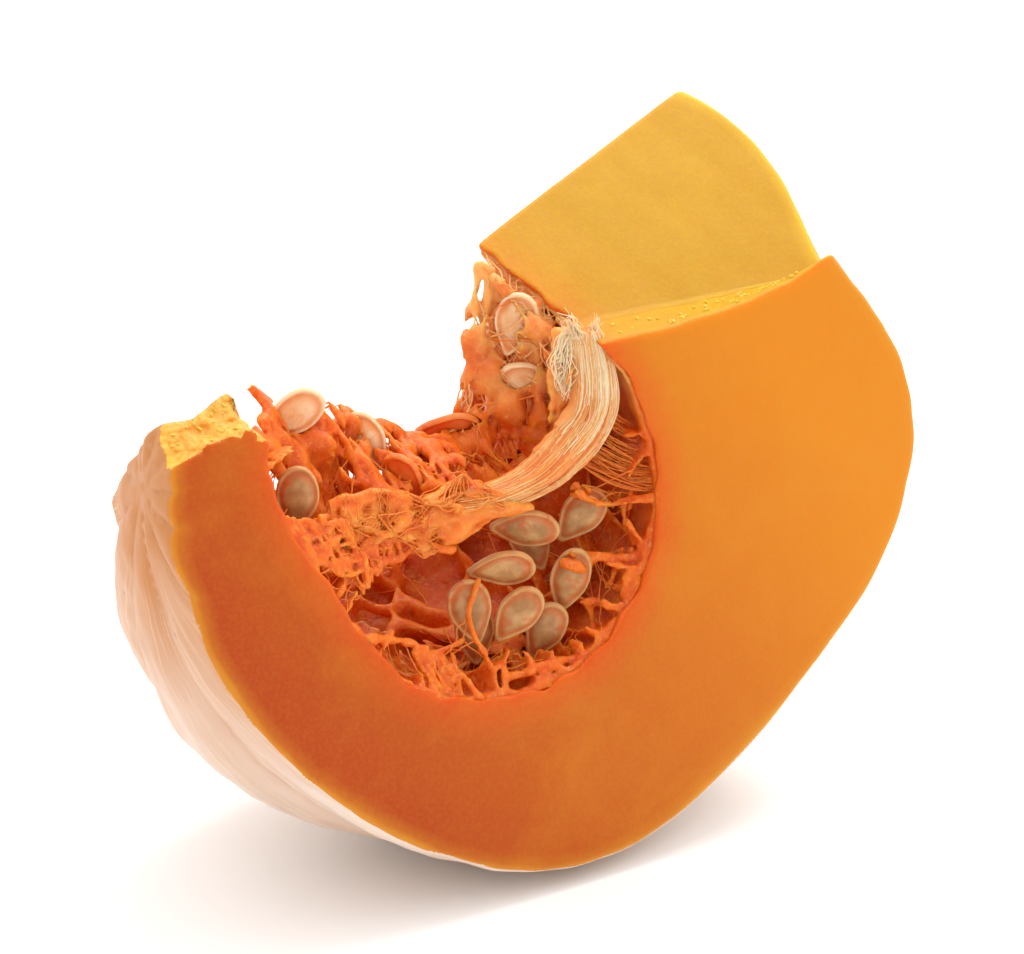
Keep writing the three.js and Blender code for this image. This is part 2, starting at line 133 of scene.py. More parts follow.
def round_shape(centre, mean, points, spread):
    """The radius, by direction, of a closed shape round a centre that passes through the points."""
    offsets = np.array(points, float) - centre
    lengths = np.linalg.norm(offsets, axis=1)
    axes = offsets / lengths[:, None]

    def bumps(directions):
        angles = np.degrees(np.arccos(np.clip(directions @ axes.T, -1, 1)))
        return np.exp(-0.5 * (angles / spread) ** 2)

    weights = np.linalg.solve(bumps(axes) + 0.02 * np.eye(len(axes)), lengths - mean)

    def radius(directions):
        pieces = [bumps(part) @ weights for part in np.array_split(directions, len(directions) // 200000 + 1)]
        return mean + np.concatenate(pieces)

    return radius


rind_radius = round_shape(SQUASH_CENTRE, SQUASH_RADIUS, RIND_POINTS, RIND_SPREAD)
hollow_radius = round_shape(HOLLOW_CENTRE, HOLLOW_RADIUS, HOLLOW_POINTS, HOLLOW_SPREAD)
POLE = RIB_POLE / np.linalg.norm(RIB_POLE)
RIB_DOWN = np.array([0, 0, -1.0]) + POLE * POLE[2]
RIB_DOWN /= np.linalg.norm(RIB_DOWN)
RIB_BACK = np.cross(POLE, RIB_DOWN)


def rib_turn(directions):
    return np.arctan2(directions @ RIB_BACK, directions @ RIB_DOWN)


def groove(directions):
    """Depth of the grooves between the ribs."""
    across = np.sqrt(np.maximum(0, 1 - (directions @ POLE) ** 2))
    wave = 1 - np.abs(np.sin(RIB_COUNT * rib_turn(directions) / 2))
    shallow = np.clip(0.55 - directions[..., 0], RIB_LEAST, 1)
    return RIB_DEPTH * wave ** 1.4 * across ** 0.7 * shallow


def outward(p, centre):
    offset = p - centre
    length = np.linalg.norm(offset, axis=1)
    return length, offset / np.maximum(length, 1e-6)[:, None]


def rind_side(p):
    length, way = outward(p, SQUASH_CENTRE)
    return length - rind_radius(way) + groove(way)


def hollow_side(p):
    length, way = outward(p, HOLLOW_CENTRE)
    return hollow_radius(way) - length


def cut_height(x, y):
    """Height of the upper cut: the narrow ledge in front and the bright slope that rises behind it."""
    top = TOP_POINT[2] - (TOP_NORMAL[1] * (y - TOP_POINT[1]) + TOP_NORMAL[0] * (x - TOP_POINT[0])) / TOP_NORMAL[2]
    front = np.interp(x, LEDGE[:, 0], LEDGE[:, 1])
    rear = np.interp(x, LEDGE[:, 0], LEDGE[:, 2])
    ledge = front + (rear - front) / LEDGE_DEPTH * np.clip(y, *LEDGE_SPAN)
    return soft_max(top, ledge, 1.2)


def back_slope(x):
    return np.interp(x, BACK_EDGE[:, 0], np.tan(np.radians(BACK_EDGE[:, 3])))


def back_place(x, z):
    y_edge = np.interp(x, BACK_EDGE[:, 0], BACK_EDGE[:, 1])
    z_edge = np.interp(x, BACK_EDGE[:, 0], BACK_EDGE[:, 2])
    return y_edge + back_slope(x) * (z_edge - z)


def back_side(x, y, z):
    return (y - back_place(x, z)) / np.sqrt(1 + back_slope(x) ** 2)


def sides(p):
    """Distance outside each side of the flesh: rind, hollow, front cut, upper cut, back cut and resting spot."""
    x, y, z = p.T
    rough = 1.0 / (1.0 + np.exp((x - ROUGH_END) / 2.0))
    return np.stack([
        rind_side(p) + 0.25 * ripple(p, 7, 3) + 0.5 * ripple(p, 26, 4),
        hollow_side(p) + 0.55 * ripple(p, 6, 5),
        -y + 0.10 * ripple(p, 13, 6),
        (z - cut_height(x, y)) * 0.8 + 0.12 * ripple(p, 10, 7)
        + rough * (0.4 * ripple(p, 3.4, 8) + 0.3 * ripple(p, 1.6, 18)),
        back_side(x, y, z) + 0.12 * ripple(p, 12, 9),
        -(p @ UP + CUT_ORIGIN[2]),
    ], axis=1)


def flesh_field(p):
    """Distance outside the whole flesh, with softened edges."""
    each = sides(p)
    whole = each[:, 0]
    for column in range(1, each.shape[1]):
        whole = soft_max(whole, each[:, column], EDGE_SOFT)
    return whole


def settle(p, field, steps=5, reach=0.05, most=1.2):
    """Moves points onto the surface where the field is 0 and returns them with their normals."""
    for _ in range(steps):
        value = field(p)
        slope = np.stack([(field(p + reach * e) - value) / reach for e in np.eye(3)], axis=1)
        steep = np.maximum((slope ** 2).sum(axis=1), 0.05)
        move = np.clip(value / steep, -most, most)
        p = p - move[:, None] * slope
    return p, slope / np.linalg.norm(slope, axis=1, keepdims=True)


def mesh_from(name, points, faces):
    mesh = bpy.data.meshes.new(name)
    mesh.from_pydata(np.asarray(points).tolist(), [], [tuple(f) for f in faces])
    mesh.update()
    return mesh


def shown(name, mesh):
    thing = bpy.data.objects.new(name, mesh)
    bpy.context.scene.collection.objects.link(thing)
    return thing


def points_of(mesh):
    flat = np.empty(len(mesh.vertices) * 3)
    mesh.vertices.foreach_get("co", flat)
    return flat.reshape(-1, 3)


def give(mesh, name, values):
    """A number for each point of the mesh, for its material to read."""
    mesh.attributes.new(name, "FLOAT", "POINT").data.foreach_set("value", np.asarray(values, np.float32))


def ball(name, centre, radius, divisions):
    bm = bmesh.new()
    bmesh.ops.create_icosphere(bm, subdivisions=divisions, radius=1)
    ways = np.array([v.co[:] for v in bm.verts])
    ways /= np.linalg.norm(ways, axis=1, keepdims=True)
    for vertex, place in zip(bm.verts, centre + ways * radius(ways)[:, None]):
        vertex.co = place
    mesh = bpy.data.meshes.new(name)
    bm.to_mesh(mesh)
    bm.free()
    return shown(name, mesh)


def face_outward(mesh):
    """Turns the faces of a closed mesh outward."""
    bm = bmesh.new()
    bm.from_mesh(mesh)
    bmesh.ops.recalc_face_normals(bm, faces=bm.faces)
    if bm.calc_volume(signed=True) < 0:
        bmesh.ops.reverse_faces(bm, faces=bm.faces)
    bm.to_mesh(mesh)
    bm.free()


def smooth(mesh):
    mesh.polygons.foreach_set("use_smooth", np.ones(len(mesh.polygons), bool))


def knife(name, rows, away):
    """A closed block whose near face is the given grid of points and whose far face is moved away from it."""
    rows = np.asarray(rows, float)
    n, m = rows.shape[:2]
    near = rows.reshape(-1, 3)
    points = np.concatenate([near, near + away])
    number = np.arange(n * m).reshape(n, m)
    quads = np.stack([number[:-1, :-1], number[1:, :-1], number[1:, 1:], number[:-1, 1:]], -1).reshape(-1, 4)
    rim = np.concatenate([number[0, :-1], number[:-1, -1], number[-1, :0:-1], number[:0:-1, 0]])
    after = np.roll(rim, -1)
    wall = np.stack([rim, after, after + n * m, rim + n * m], -1)
    faces = np.concatenate([quads, quads[:, ::-1] + n * m, wall])
    mesh = mesh_from(name, points, faces)
    face_outward(mesh)
    return shown(name, mesh)


def lattice(a_low, a_high, b_low, b_high, step=CELL):
    a = np.linspace(a_low, a_high, int((a_high - a_low) / step) + 1)
    b = np.linspace(b_low, b_high, int((b_high - b_low) / step) + 1)
    return np.meshgrid(a, b, indexing="ij")


def cutters():
    x, z = lattice(-140, 145, -135, 70)
    yield knife("front", np.stack([x, 0 * x, z], -1), (0, -FAR, 0))
    x, y = lattice(-140, 145, -40, 120)
    yield knife("top", np.stack([x, y, cut_height(x, y)], -1), (0, 0, FAR))
    x, z = lattice(-140, 145, -150, 135)
    yield knife("back", np.stack([x, back_place(x, z), z], -1), (0, FAR, 0))
    x, y = lattice(-140, 145, -60, 190, 6)
    yield knife("table", np.stack([x, y, -(CUT_ORIGIN[2] + UP[1] * y + UP[0] * x) / UP[2]], -1), (0, 0, -FAR))
    yield ball("hollow", HOLLOW_CENTRE, hollow_radius, 6)


def islands(bm):
    """The connected parts of a mesh, each as a list of its points."""
    left = set(bm.verts)
    while left:
        group, edge = [], [left.pop()]
        while edge:
            vertex = edge.pop()
            group.append(vertex)
            for link in vertex.link_edges:
                other = link.other_vert(vertex)
                if other in left:
                    left.discard(other)
                    edge.append(other)
        yield group


def largest_island(bm):
    """Deletes all but the biggest connected part of a mesh."""
    kept = set(max(islands(bm), key=len))
    bmesh.ops.delete(bm, geom=[v for v in bm.verts if v not in kept], context="VERTS")


def refine_edges(bm, rounds=3):
    """Splits the long mesh edges that lie along the squash's cut edges."""
    for _ in range(rounds):
        bm.verts.ensure_lookup_table()
        places = np.array([v.co[:] for v in bm.verts])
        each = sides(places)
        torn = (each[:, 3] > -0.8) & (places[:, 0] < ROUGH_END + 4)
        near = (np.sort(each, axis=1)[:, -2] > -EDGE_ZONE) | torn
        bm.verts.index_update()
        long = [e for e in bm.edges
                if (near[e.verts[0].index] or near[e.verts[1].index]) and e.calc_length() > EDGE_CELL * 1.5]
        bmesh.ops.subdivide_edges(bm, edges=long, cuts=1)
        bmesh.ops.triangulate(bm, faces=[f for f in bm.faces if len(f.verts) > 3])


def cut_squash():
    """The squash's flesh as the knife left it, as a mesh in the cut frame."""
    whole = ball("squash", SQUASH_CENTRE, lambda way: rind_radius(way) - groove(way), 7)
    tools = list(cutters())
    for tool in tools:
        step = whole.modifiers.new(tool.name, "BOOLEAN")
        step.operation = "DIFFERENCE"
        step.solver = "MANIFOLD"
        step.object = tool
    bpy.context.view_layer.update()
    mesh = bpy.data.meshes.new_from_object(whole.evaluated_get(bpy.context.evaluated_depsgraph_get()))
    for thing in [whole, *tools]:
        bpy.data.objects.remove(thing)
    bm = bmesh.new()
    bm.from_mesh(mesh)
    bmesh.ops.triangulate(bm, faces=bm.faces)
    bmesh.ops.remove_doubles(bm, verts=bm.verts, dist=0.2)
    largest_island(bm)
    refine_edges(bm)
    bm.to_mesh(mesh)
    bm.free()
    return mesh


FACE_FINISH = ["rind", "hollow", "front", "top", "back", "rind"]


def make_flesh(finishes):
    mesh = cut_squash()
    points, normals = settle(points_of(mesh), flesh_field)
    mesh.vertices.foreach_set("co", points.ravel())
    mesh.update()
    order = list(finishes)
    mesh.materials.clear()
    for name in order:
        mesh.materials.append(finishes[name])
    corners = np.empty(len(mesh.loops), int)
    mesh.loops.foreach_get("vertex_index", corners)
    middles = points[corners.reshape(-1, 3)].mean(axis=1)
    nearest = sides(middles).argmax(axis=1)
    slots = np.array([order.index(name) for name in FACE_FINISH])
    mesh.polygons.foreach_set("material_index", slots[nearest])
    smooth(mesh)
    _, way = outward(points, SQUASH_CENTRE)
    give(mesh, "rind_mm", -rind_side(points))
    give(mesh, "hollow_mm", -hollow_side(points))
    give(mesh, "rib_turn", rib_turn(way) * SQUASH_RADIUS)
    give(mesh, "rib_along", way @ POLE * SQUASH_RADIUS)
    give(mesh, "rib_groove", groove(way) / RIB_DEPTH)
    give(mesh, "cut_x", points[:, 0])
    give(mesh, "cut_z", points[:, 2])
    mesh.normals_split_custom_set_from_vertices(normals.tolist())
    mesh.transform(TO_PART)
    return shown("squash_flesh", mesh)


EMPTY = 6.0         # distance that a grid point without tissue holds


class Tissue:
    """A grid of distances that lumps, strands and pockets are added to and cut from."""

    def __init__(self, low, high, step=VOXEL):
        self.low = np.array(low, float)
        self.step = step
        self.shape = np.ceil((np.array(high) - self.low) / step).astype(int) + 1
        self.field = np.full(self.shape, EMPTY, np.float32)

    def empty_copy(self):
        """An empty grid in the same place."""
        other = Tissue(self.low, self.low, self.step)
        other.shape = self.shape
        other.field = np.full(self.shape, EMPTY, np.float32)
        return other

    def window(self, low, high):
        a = np.clip(np.floor((np.asarray(low) - self.low) / self.step).astype(int), 0, self.shape)
        b = np.clip(np.ceil((np.asarray(high) - self.low) / self.step).astype(int) + 1, 0, self.shape)
        if np.any(b <= a):
            return None
        axes = [np.float32(self.low[i] + self.step * np.arange(a[i], b[i])) for i in range(3)]
        return tuple(slice(s, e) for s, e in zip(a, b)), np.stack(np.meshgrid(*axes, indexing="ij"), -1)

    def add(self, low, high, distance, blend):
        found = self.window(low, high)
        if found:
            place, grid = found
            self.field[place] = soft_min(self.field[place], distance(grid), blend)

    def carve(self, low, high, distance, blend):
        found = self.window(low, high)
        if found:
            place, grid = found
            self.field[place] = soft_max(self.field[place], -distance(grid), blend)

    def strand(self, points, radii, blend=0.8, bend=0.0, seed=0):
        """A strand through the points, its radius running through the radii."""
        line = curved(points, 1.3)
        if bend:
            random = np.random.default_rng(seed)
            shape = np.sin(np.linspace(0, math.pi, len(line)))[:, None]
            waves = sum(np.sin(np.linspace(0, math.pi * k, len(line)) + random.uniform(0, 6))[:, None]
                        * random.normal(size=3) / k for k in (1, 2, 3, 5))
            line = line + bend * shape * waves * 0.5
        sizes = np.interp(np.linspace(0, 1, len(line)), np.linspace(0, 1, len(radii)), radii)
        for a, b, r in zip(line[:-1], line[1:], (sizes[:-1] + sizes[1:]) / 2):
            pad = r + blend + 1.0
            self.add(np.minimum(a, b) - pad, np.maximum(a, b) + pad, capsule(a, b, r), blend)

    def lump(self, centre, radii, turn=(0, 0, 0), blend=2.0):
        far = max(radii) + blend + 1
        self.add(np.array(centre) - far, np.array(centre) + far, oval(centre, radii, turn), blend)

    def pocket(self, centre, radii, turn=(0, 0, 0), blend=1.5):
        far = max(radii) + blend + 1
        self.carve(np.array(centre) - far, np.array(centre) + far, oval(centre, radii, turn), blend)

    def mesh(self):
        """The tissue's surface: its points, its faces and how sharp a ridge each point is on."""
        field = self.field.copy()
        for axis in range(3):
            edge = [slice(None)] * 3
            for end in (0, -1):
                edge[axis] = end
                field[tuple(edge)] = EMPTY
        grid = openvdb.FloatGrid(EMPTY)
        grid.copyFromArray(field)
        points, triangles, quads = grid.convertToPolygons(isovalue=0.0, adaptivity=MERGE)
        bend = sum(np.roll(field, s, a) for a in range(3) for s in (1, -1)) - 6 * field
        nearest = np.clip(np.rint(points).astype(int), 0, self.shape - 1)
        ridge = bend[tuple(nearest.T)]
        points = np.asarray(points) * self.step + self.low
        return points, triangles.tolist() + quads.tolist(), ridge


def spline(a, b, c, d, t):
    """Points between b and c, at shares t, of a smooth line through a, b, c and d."""
    return 0.5 * (2 * b + (c - a) * t + (2 * a - 5 * b + 4 * c - d) * t ** 2 + (3 * b - a - 3 * c + d) * t ** 3)


def curved(points, spacing):
    """A smooth line through the points, as points the given distance apart."""
    p = np.array(points, float)
    if len(p) == 2:
        count = max(2, int(np.linalg.norm(p[1] - p[0]) / spacing) + 1)
        return p[0] + (p[1] - p[0]) * np.linspace(0, 1, count)[:, None]
    ends = np.concatenate([[2 * p[0] - p[1]], p, [2 * p[-1] - p[-2]]])
    out = []
    for i in range(len(p) - 1):
        a, b, c, d = ends[i:i + 4]
        count = max(2, int(np.linalg.norm(c - b) / spacing) + 1)
        t = np.linspace(0, 1, count, endpoint=False)[:, None]
        out.append(spline(a, b, c, d, t))
    return np.concatenate(out + [p[-1:]])


def capsule(a, b, r):
    a32, way = np.float32(a), np.float32(np.asarray(b) - a)
    size = float(way @ way) + 1e-9

    def distance(grid):
        offset = grid - a32
        t = np.clip(offset @ way / size, 0, 1)
        return np.linalg.norm(offset - t[..., None] * way, axis=-1) - r

    return distance


def oval(centre, radii, turn):
    spin = (Matrix.Rotation(math.radians(turn[2]), 3, "Z") @ Matrix.Rotation(math.radians(turn[1]), 3, "Y")
            @ Matrix.Rotation(math.radians(turn[0]), 3, "X"))
    return spun_oval(centre, radii, np.array(spin, np.float32))


def spun_oval(centre, radii, spin):
    c, r = np.float32(centre), np.float32(radii)

    def distance(grid):
        local = (grid - c) @ spin
        near = np.linalg.norm(local / r, axis=-1)
        return near * (near - 1) / (np.linalg.norm(local / (r * r), axis=-1) + 1e-6)

    return distance


def pulp_space():
    """The grid that the pulp is modelled in, and for each of its points the depth into the hollow from its wall,
    how far it is beyond the cuts, and how far the nearest piece of wall is beyond them."""
    space = Tissue((-95, -1.5, -68), (38, 66, 58))
    _, grid = space.window(space.low, space.low + space.shape * space.step)
    flat = grid.reshape(-1, 3)
    depth = hollow_side(flat).reshape(space.shape).astype(np.float32)
    x, y, z = (grid[..., i] for i in range(3))
    cut = np.maximum(z - cut_height(x, y), back_side(x, y, z)).astype(np.float32)
    _, way = outward(flat, HOLLOW_CENTRE)
    wall = HOLLOW_CENTRE + way * (hollow_radius(way) + 2.0)[:, None]
    x, y, z = wall.T
    bare = np.maximum(np.maximum(-y, z - cut_height(x, y)), back_side(x, y, z))
    return space, grid, depth, cut, bare.reshape(space.shape).astype(np.float32)


# Middles of the seed pockets that the photo shows.
POCKETS = [
    (-55, 14, -15), (-40.5, 18, -27), (-30.5, 24, -25), (-35, 16, -38.5), (-48, 10, -44), (-38.5, 10, -48),
    (-29.5, 10, -52), (-18, 14, -55), (-20, 16, -49), (21, 14, -3), (28.5, 14, -10), (24, 14, -25),
    (28.5, 12, -22), (19.5, 14, -39.5), (24, 12, -40.5), (14, 13, -47.5), (16, 10, -52), (8, 10, -54.5),
    (-13, 9, -55), (-8, 9, -54.5), (-0.5, 8, -55.5), (-6, 6, -57.5), (-63, 14, -8), (-66, 10, -20),
    (-58, 9, -30), (-76, 14, 0),
]


def foam(space, middles, reach=20.0):
    """For each point of the grid, its distance to the nearest middle and to the next one."""
    first = np.full(space.shape, reach, np.float32)
    second = np.full(space.shape, reach, np.float32)
    for middle in middles:
        found = space.window(np.array(middle) - reach, np.array(middle) + reach)
        if not found:
            continue
        place, grid = found
        away = np.linalg.norm((grid - np.float32(middle)) * np.float32((1, 0.75, 1)), axis=-1)
        second[place] = np.minimum(second[place], np.maximum(first[place], away))
        first[place] = np.minimum(first[place], away)
    return first, second


def scattered(count, low, high, apart, seed, taken=()):
    """Random points that stay apart from each other and from the ones already taken."""
    random = np.random.default_rng(seed)
    kept = [np.array(p, float) for p in taken]
    fixed = len(kept)
    for _ in range(count * 40):
        p = random.uniform(low, high)
        if all(np.linalg.norm(p - q) > apart for q in kept):
            kept.append(p)
        if len(kept) - fixed >= count:
            break
    return kept


SEEDS = {
    "seed_01": (12.7, 13, -18, 48, 8, -30), "seed_02": (-6.1, 11, -17.5, -8, 22, -34),
    "seed_03": (-14.7, 10, -26.5, 3, 30, -34), "seed_04": (-23.5, 12, -36.5, 100, 5, -28),
    "seed_05": (-12, 8.5, -39, 50, 12, -30), "seed_06": (5.8, 9.5, -33.5, 70, 8, -40),
    "seed_07": (-1.2, 12.5, -46.5, 60, 12, -34), "seed_08": (4, 24.5, -25, 110, 0, -34),
    "seed_09": (-18, 20, -45, 90, 10, -30), "seed_10": (-71, 12, 1.5, 84, 8, -30),
    "seed_11": (-64.8, 22, 20.4, 38, 20, -25), "seed_12": (-42, 27, 9, 118, 10, -35),
    "seed_13": (-36, 19, -1.5, 95, 25, -60), "seed_14": (-12.5, 35, 7, 5, 50, -30),
    "seed_15": (8, 26, 17, 150, 30, -30), "seed_16": (4.5, 25.5, 33, 70, 15, -40),
    "seed_17": (-30, 30, -14, 70, 40, -20), "seed_18": (-54, 40, -3, 35, 35, -10),
}


def seed_turn(name):
    x, y, z, roll, pitch, yaw = SEEDS[name]
    return (
        Matrix.Translation((x, y, z))
        @ Matrix.Rotation(math.radians(yaw), 4, "Z")
        @ Matrix.Rotation(math.radians(pitch), 4, "X")
        @ Matrix.Rotation(-math.radians(roll), 4, "Y")
        @ Matrix.Rotation(math.radians(90), 4, "X")
    )


def seed_room(tissue, name, gap, blend=1.0):
    """Clears the pulp away round a seed."""
    turn = np.array(seed_turn(name))
    middle = turn[:3, 3]
    radii = (SEED_LENGTH / 2 + gap, SEED_WIDTH / 2 + gap, SEED_THICKNESS / 2 + gap)
    far = SEED_LENGTH / 2 + gap + 2
    tissue.carve(middle - far, middle + far, spun_oval(middle, radii, np.float32(turn[:3, :3])), blend)


def veil(tissue, upper, lower, count, radius, bend, seed, gaps=0.25, blend=0.8):
    """A torn, fibrous sheet: strands side by side from one line to another, with some left out."""
    random = np.random.default_rng(seed)
    a, b = curved(upper, 0.5), curved(lower, 0.5)
    drift = 0.0
    for k in range(count):
        s = (k + random.uniform(-0.3, 0.3)) / max(1, count - 1)
        drift = 0.7 * drift + random.normal() * 0.6
        if random.random() < gaps or drift > 1.1:
            continue
        start = a[int(np.clip(s, 0, 1) * (len(a) - 1))]
        slant = np.clip(s + random.normal() * 0.04, 0, 1)
        end = b[int(slant * (len(b) - 1))]
        middle = (start + end) / 2 + random.normal(size=3) * bend * 0.4
        size = radius * random.uniform(0.6, 1.3)
        tissue.strand([start, middle, end], [size * 1.2, size * 0.8, size], blend, bend, seed * 1000 + k)


def pulp_front(space, grid, depth, cut, bare):
    """The net that lines the hollow: pockets with thin walls between them, torn open towards the front."""
    tissue = space.empty_copy()
    middles = scattered(60, (-90, 4, -66), (36, 44, 30), 11.5, 31, POCKETS)
    first, second = foam(tissue, middles)
    uneven = ripple(grid, 9, 41).astype(np.float32)
    coarse = ripple(grid, 24, 42).astype(np.float32)
    wall = (second - first) / 2 - (0.28 + 0.16 * uneven)
    reach = 9.0 + 3.0 * coarse - 0.62 * (9.0 - first)
    lining = depth - (1.3 + 0.5 * uneven)
    net = soft_min(wall, lining, 1.6)
    net = soft_max(net, depth - reach, 0.8)
    net = soft_max(net, grid[..., 1] - 34 + 4 * coarse, 3.0)
    net = np.maximum(net, -depth - 0.9)
    net = np.maximum(net, 0.25 - grid[..., 1] + 0.35 * uneven)
    net = soft_max(net, bare + 1.0, 1.0)
    tissue.field = np.maximum(net, cut + 0.6).astype(np.float32)
    # the open space round the cluster of seeds, and the hollow above it
    tissue.carve((-34, -2, -54), (28, 40, -2), oval((-4, 12, -30), (20, 17, 20), (0, 0, 0)), 2.0)
    for name in ("seed_01", "seed_02", "seed_03", "seed_04", "seed_05", "seed_06", "seed_07", "seed_10"):
        seed_room(tissue, name, 0.5)
    for number, (points, radii) in enumerate(FRONT_STRANDS):
        tissue.strand(points, [r * STRAND_SHARE for r in radii], 1.3, 0.8, 60 + number)
    for number, (upper, lower, count, radius) in enumerate(FRONT_VEILS):
        veil(tissue, upper, lower, count, radius, 1.0, 140 + number, 0.08, 0.7)
    tissue.field += (0.16 * ripple(grid, 1.9, 43)).astype(np.float32)
    tissue.field = np.maximum(tissue.field, -depth - 0.9)
    tissue.field = np.maximum(tissue.field, np.maximum(cut + 0.4, 0.1 - grid[..., 1])).astype(np.float32)
    return tissue


# Thin sheets in front: over the lower half of the left seed, across the small pockets and round the right ones.
FRONT_VEILS = [
    ([(-79, 3, 0), (-70, 6, -3), (-60, 8, -5)], [(-73, 3, -12), (-64, 5, -17), (-54, 8, -20)], 18, 0.45),
    ([(-77, 3, -5), (-73, 3, -11), (-66, 4, -17)], [(-62, 8, -4), (-57, 9, -10), (-53, 8, -19)], 14, 0.42),
    ([(-60, 8, -14), (-52, 9, -12), (-44, 10, -13)], [(-58, 6, -24), (-50, 9, -19), (-42, 10, -17)], 18, 0.5),
    ([(9, 9, -8), (18, 9, -12), (30, 5, -13)], [(10, 12, -12), (20, 12, -17), (30, 6, -18)], 16, 0.42),
    ([(22, 8, -28), (29, 3, -29)], [(17, 9, -38), (25, 3, -40)], 10, 0.42),
    ([(-44, 8, -42), (-36, 8, -44)], [(-40, 4, -54), (-31, 4, -58)], 12, 0.45),
]


STRAND_SHARE = 0.72     # the strands in front are this share of the listed radii
# Strands in front: along the rims of the pockets, between the seeds and over them.
FRONT_STRANDS = [
    ([(-66, 4, -22), (-60.5, 8, -17), (-53, 9, -11.5), (-45, 10, -13)], [1.2, 0.8, 0.9, 1.2]),
    ([(-51, 9, -17), (-45, 10, -18), (-40, 10, -16), (-34, 9, -17.5), (-29, 9, -18.5)], [1.1, 0.9, 0.8, 1.0,
                                                                                         1.4]),
    ([(-60, 1, -34), (-53, 6, -37), (-45, 8, -39.5), (-38, 9, -44), (-32, 9, -43.5), (-28, 9, -42.5)],
     [1.6, 1.0, 0.8, 0.9, 0.7, 0.6]),
    ([(-33.5, 7, -44), (-31, 6, -49.5), (-28.5, 2, -57)], [0.6, 0.4, 0.9]),
    ([(-40, 8, -42), (-40.5, 7, -48), (-42, 2, -54)], [0.9, 0.6, 1.2]),
    ([(8.5, 7, -10), (11.5, 8, -12), (18, 7, -14.5), (24, 6, -14.5), (31, 1.5, -14.5)], [1.2, 0.7, 0.5, 0.6,
                                                                                         1.3]),
    ([(6, 8, -26), (8.5, 9, -27.5), (15, 8, -28.5), (23.5, 6, -30), (29, 1.5, -31.5)], [1.6, 1.3, 1.0, 1.0,
                                                                                        1.8]),
    ([(8.5, 9, -40), (13.5, 8, -40.5), (18, 4, -45), (22, 1, -47)], [0.9, 0.6, 0.7, 1.1]),
    ([(-19, 6, -54), (-12, 5, -54), (-5, 5, -52.5), (3, 5, -53), (12, 5, -51), (19, 2, -44)],
     [1.2, 0.8, 0.6, 0.8, 0.9, 1.2]),
    ([(-3, 5, -53), (-2.5, 4, -57), (-1, 1, -60)], [0.5, 0.4, 0.8]),
    ([(-9, 6, -54), (-7, 4, -57), (-8, 1, -60)], [0.7, 0.4, 0.8]),
    ([(-22, 10, -28), (-26, 9, -35), (-26, 7, -42), (-23, 7, -47)], [0.9, 0.5, 0.5, 0.8]),
    ([(3, 8, -28), (7, 6, -30), (12, 8, -29)], [1.6, 1.5, 1.2]),
    ([(24, 9, -16), (25, 9, -22), (26, 7, -28)], [0.6, 0.4, 0.7]),
    ([(11, 10, -40), (12, 9, -46), (11, 6, -52)], [0.7, 0.4, 0.7]),
    ([(-69, 4, -2), (-66, 8, -6), (-62, 10, -12), (-60.5, 8, -17)], [1.0, 0.7, 0.7, 0.9]),
]

BAND_RIGHT = [(17, 6, 33), (19, 5, 27.5), (21, 4.5, 16), (19.5, 4.5, 8), (14, 4.5, 1), (8.5, 5, -3),
              (2.5, 5, -6.5), (-5, 6, -9), (-15, 7, -11), (-25, 8, -11)]
BAND_LEFT = [(10, 10, 33), (10, 9, 27.5), (9.5, 9, 18), (7.5, 9, 11.5), (3, 9, 7.5), (-2, 9, 3.5),
             (-8, 9, -0.5), (-15, 10, -3), (-22.5, 10, -3.5), (-30, 10, -3)]


STRAP_ALONG = 230       # mesh points along the band
STRAP_AROUND = 120      # and round it
STRAP_THICK = 1.5
STRAP_BULGE = 2.4
STRAP_LENGTH = 68


def through(points, t):
    """A smooth line through the points, read at the shares t of its points."""
    p = np.array(points, float)
    ends = np.concatenate([[2 * p[0] - p[1]], p, [2 * p[-1] - p[-2]]])
    place = np.clip(t, 0, 1) * (len(p) - 1)
    k = np.minimum(place.astype(int), len(p) - 2)
    t = (place - k)[:, None]
    a, b, c, d = (ends[k + i] for i in range(4))
    return spline(a, b, c, d, t)


def strap_grain(share, along):
    """Height of the fine ridges that run along the band, by share across and mm along."""
    flat = np.stack([share * 11.0, along * 0.05, 0 * share], -1)
    return 0.26 * ripple(flat, 0.62, 61) + 0.22 * ripple(flat, 1.5, 62) + 0.5 * ripple(flat * (1, 1.6, 1),
                                                                                       5.0, 63)


def strap_surface(share, along, lift=0.0):
    """Points of the band's front at shares across and along it, lifted towards the front."""
    right, left = through(BAND_RIGHT, along), through(BAND_LEFT, along)
    p = right * (1 - share)[:, None] + left * share[:, None]
    p[:, 1] -= STRAP_BULGE * np.sin(math.pi * share) + lift
    return p


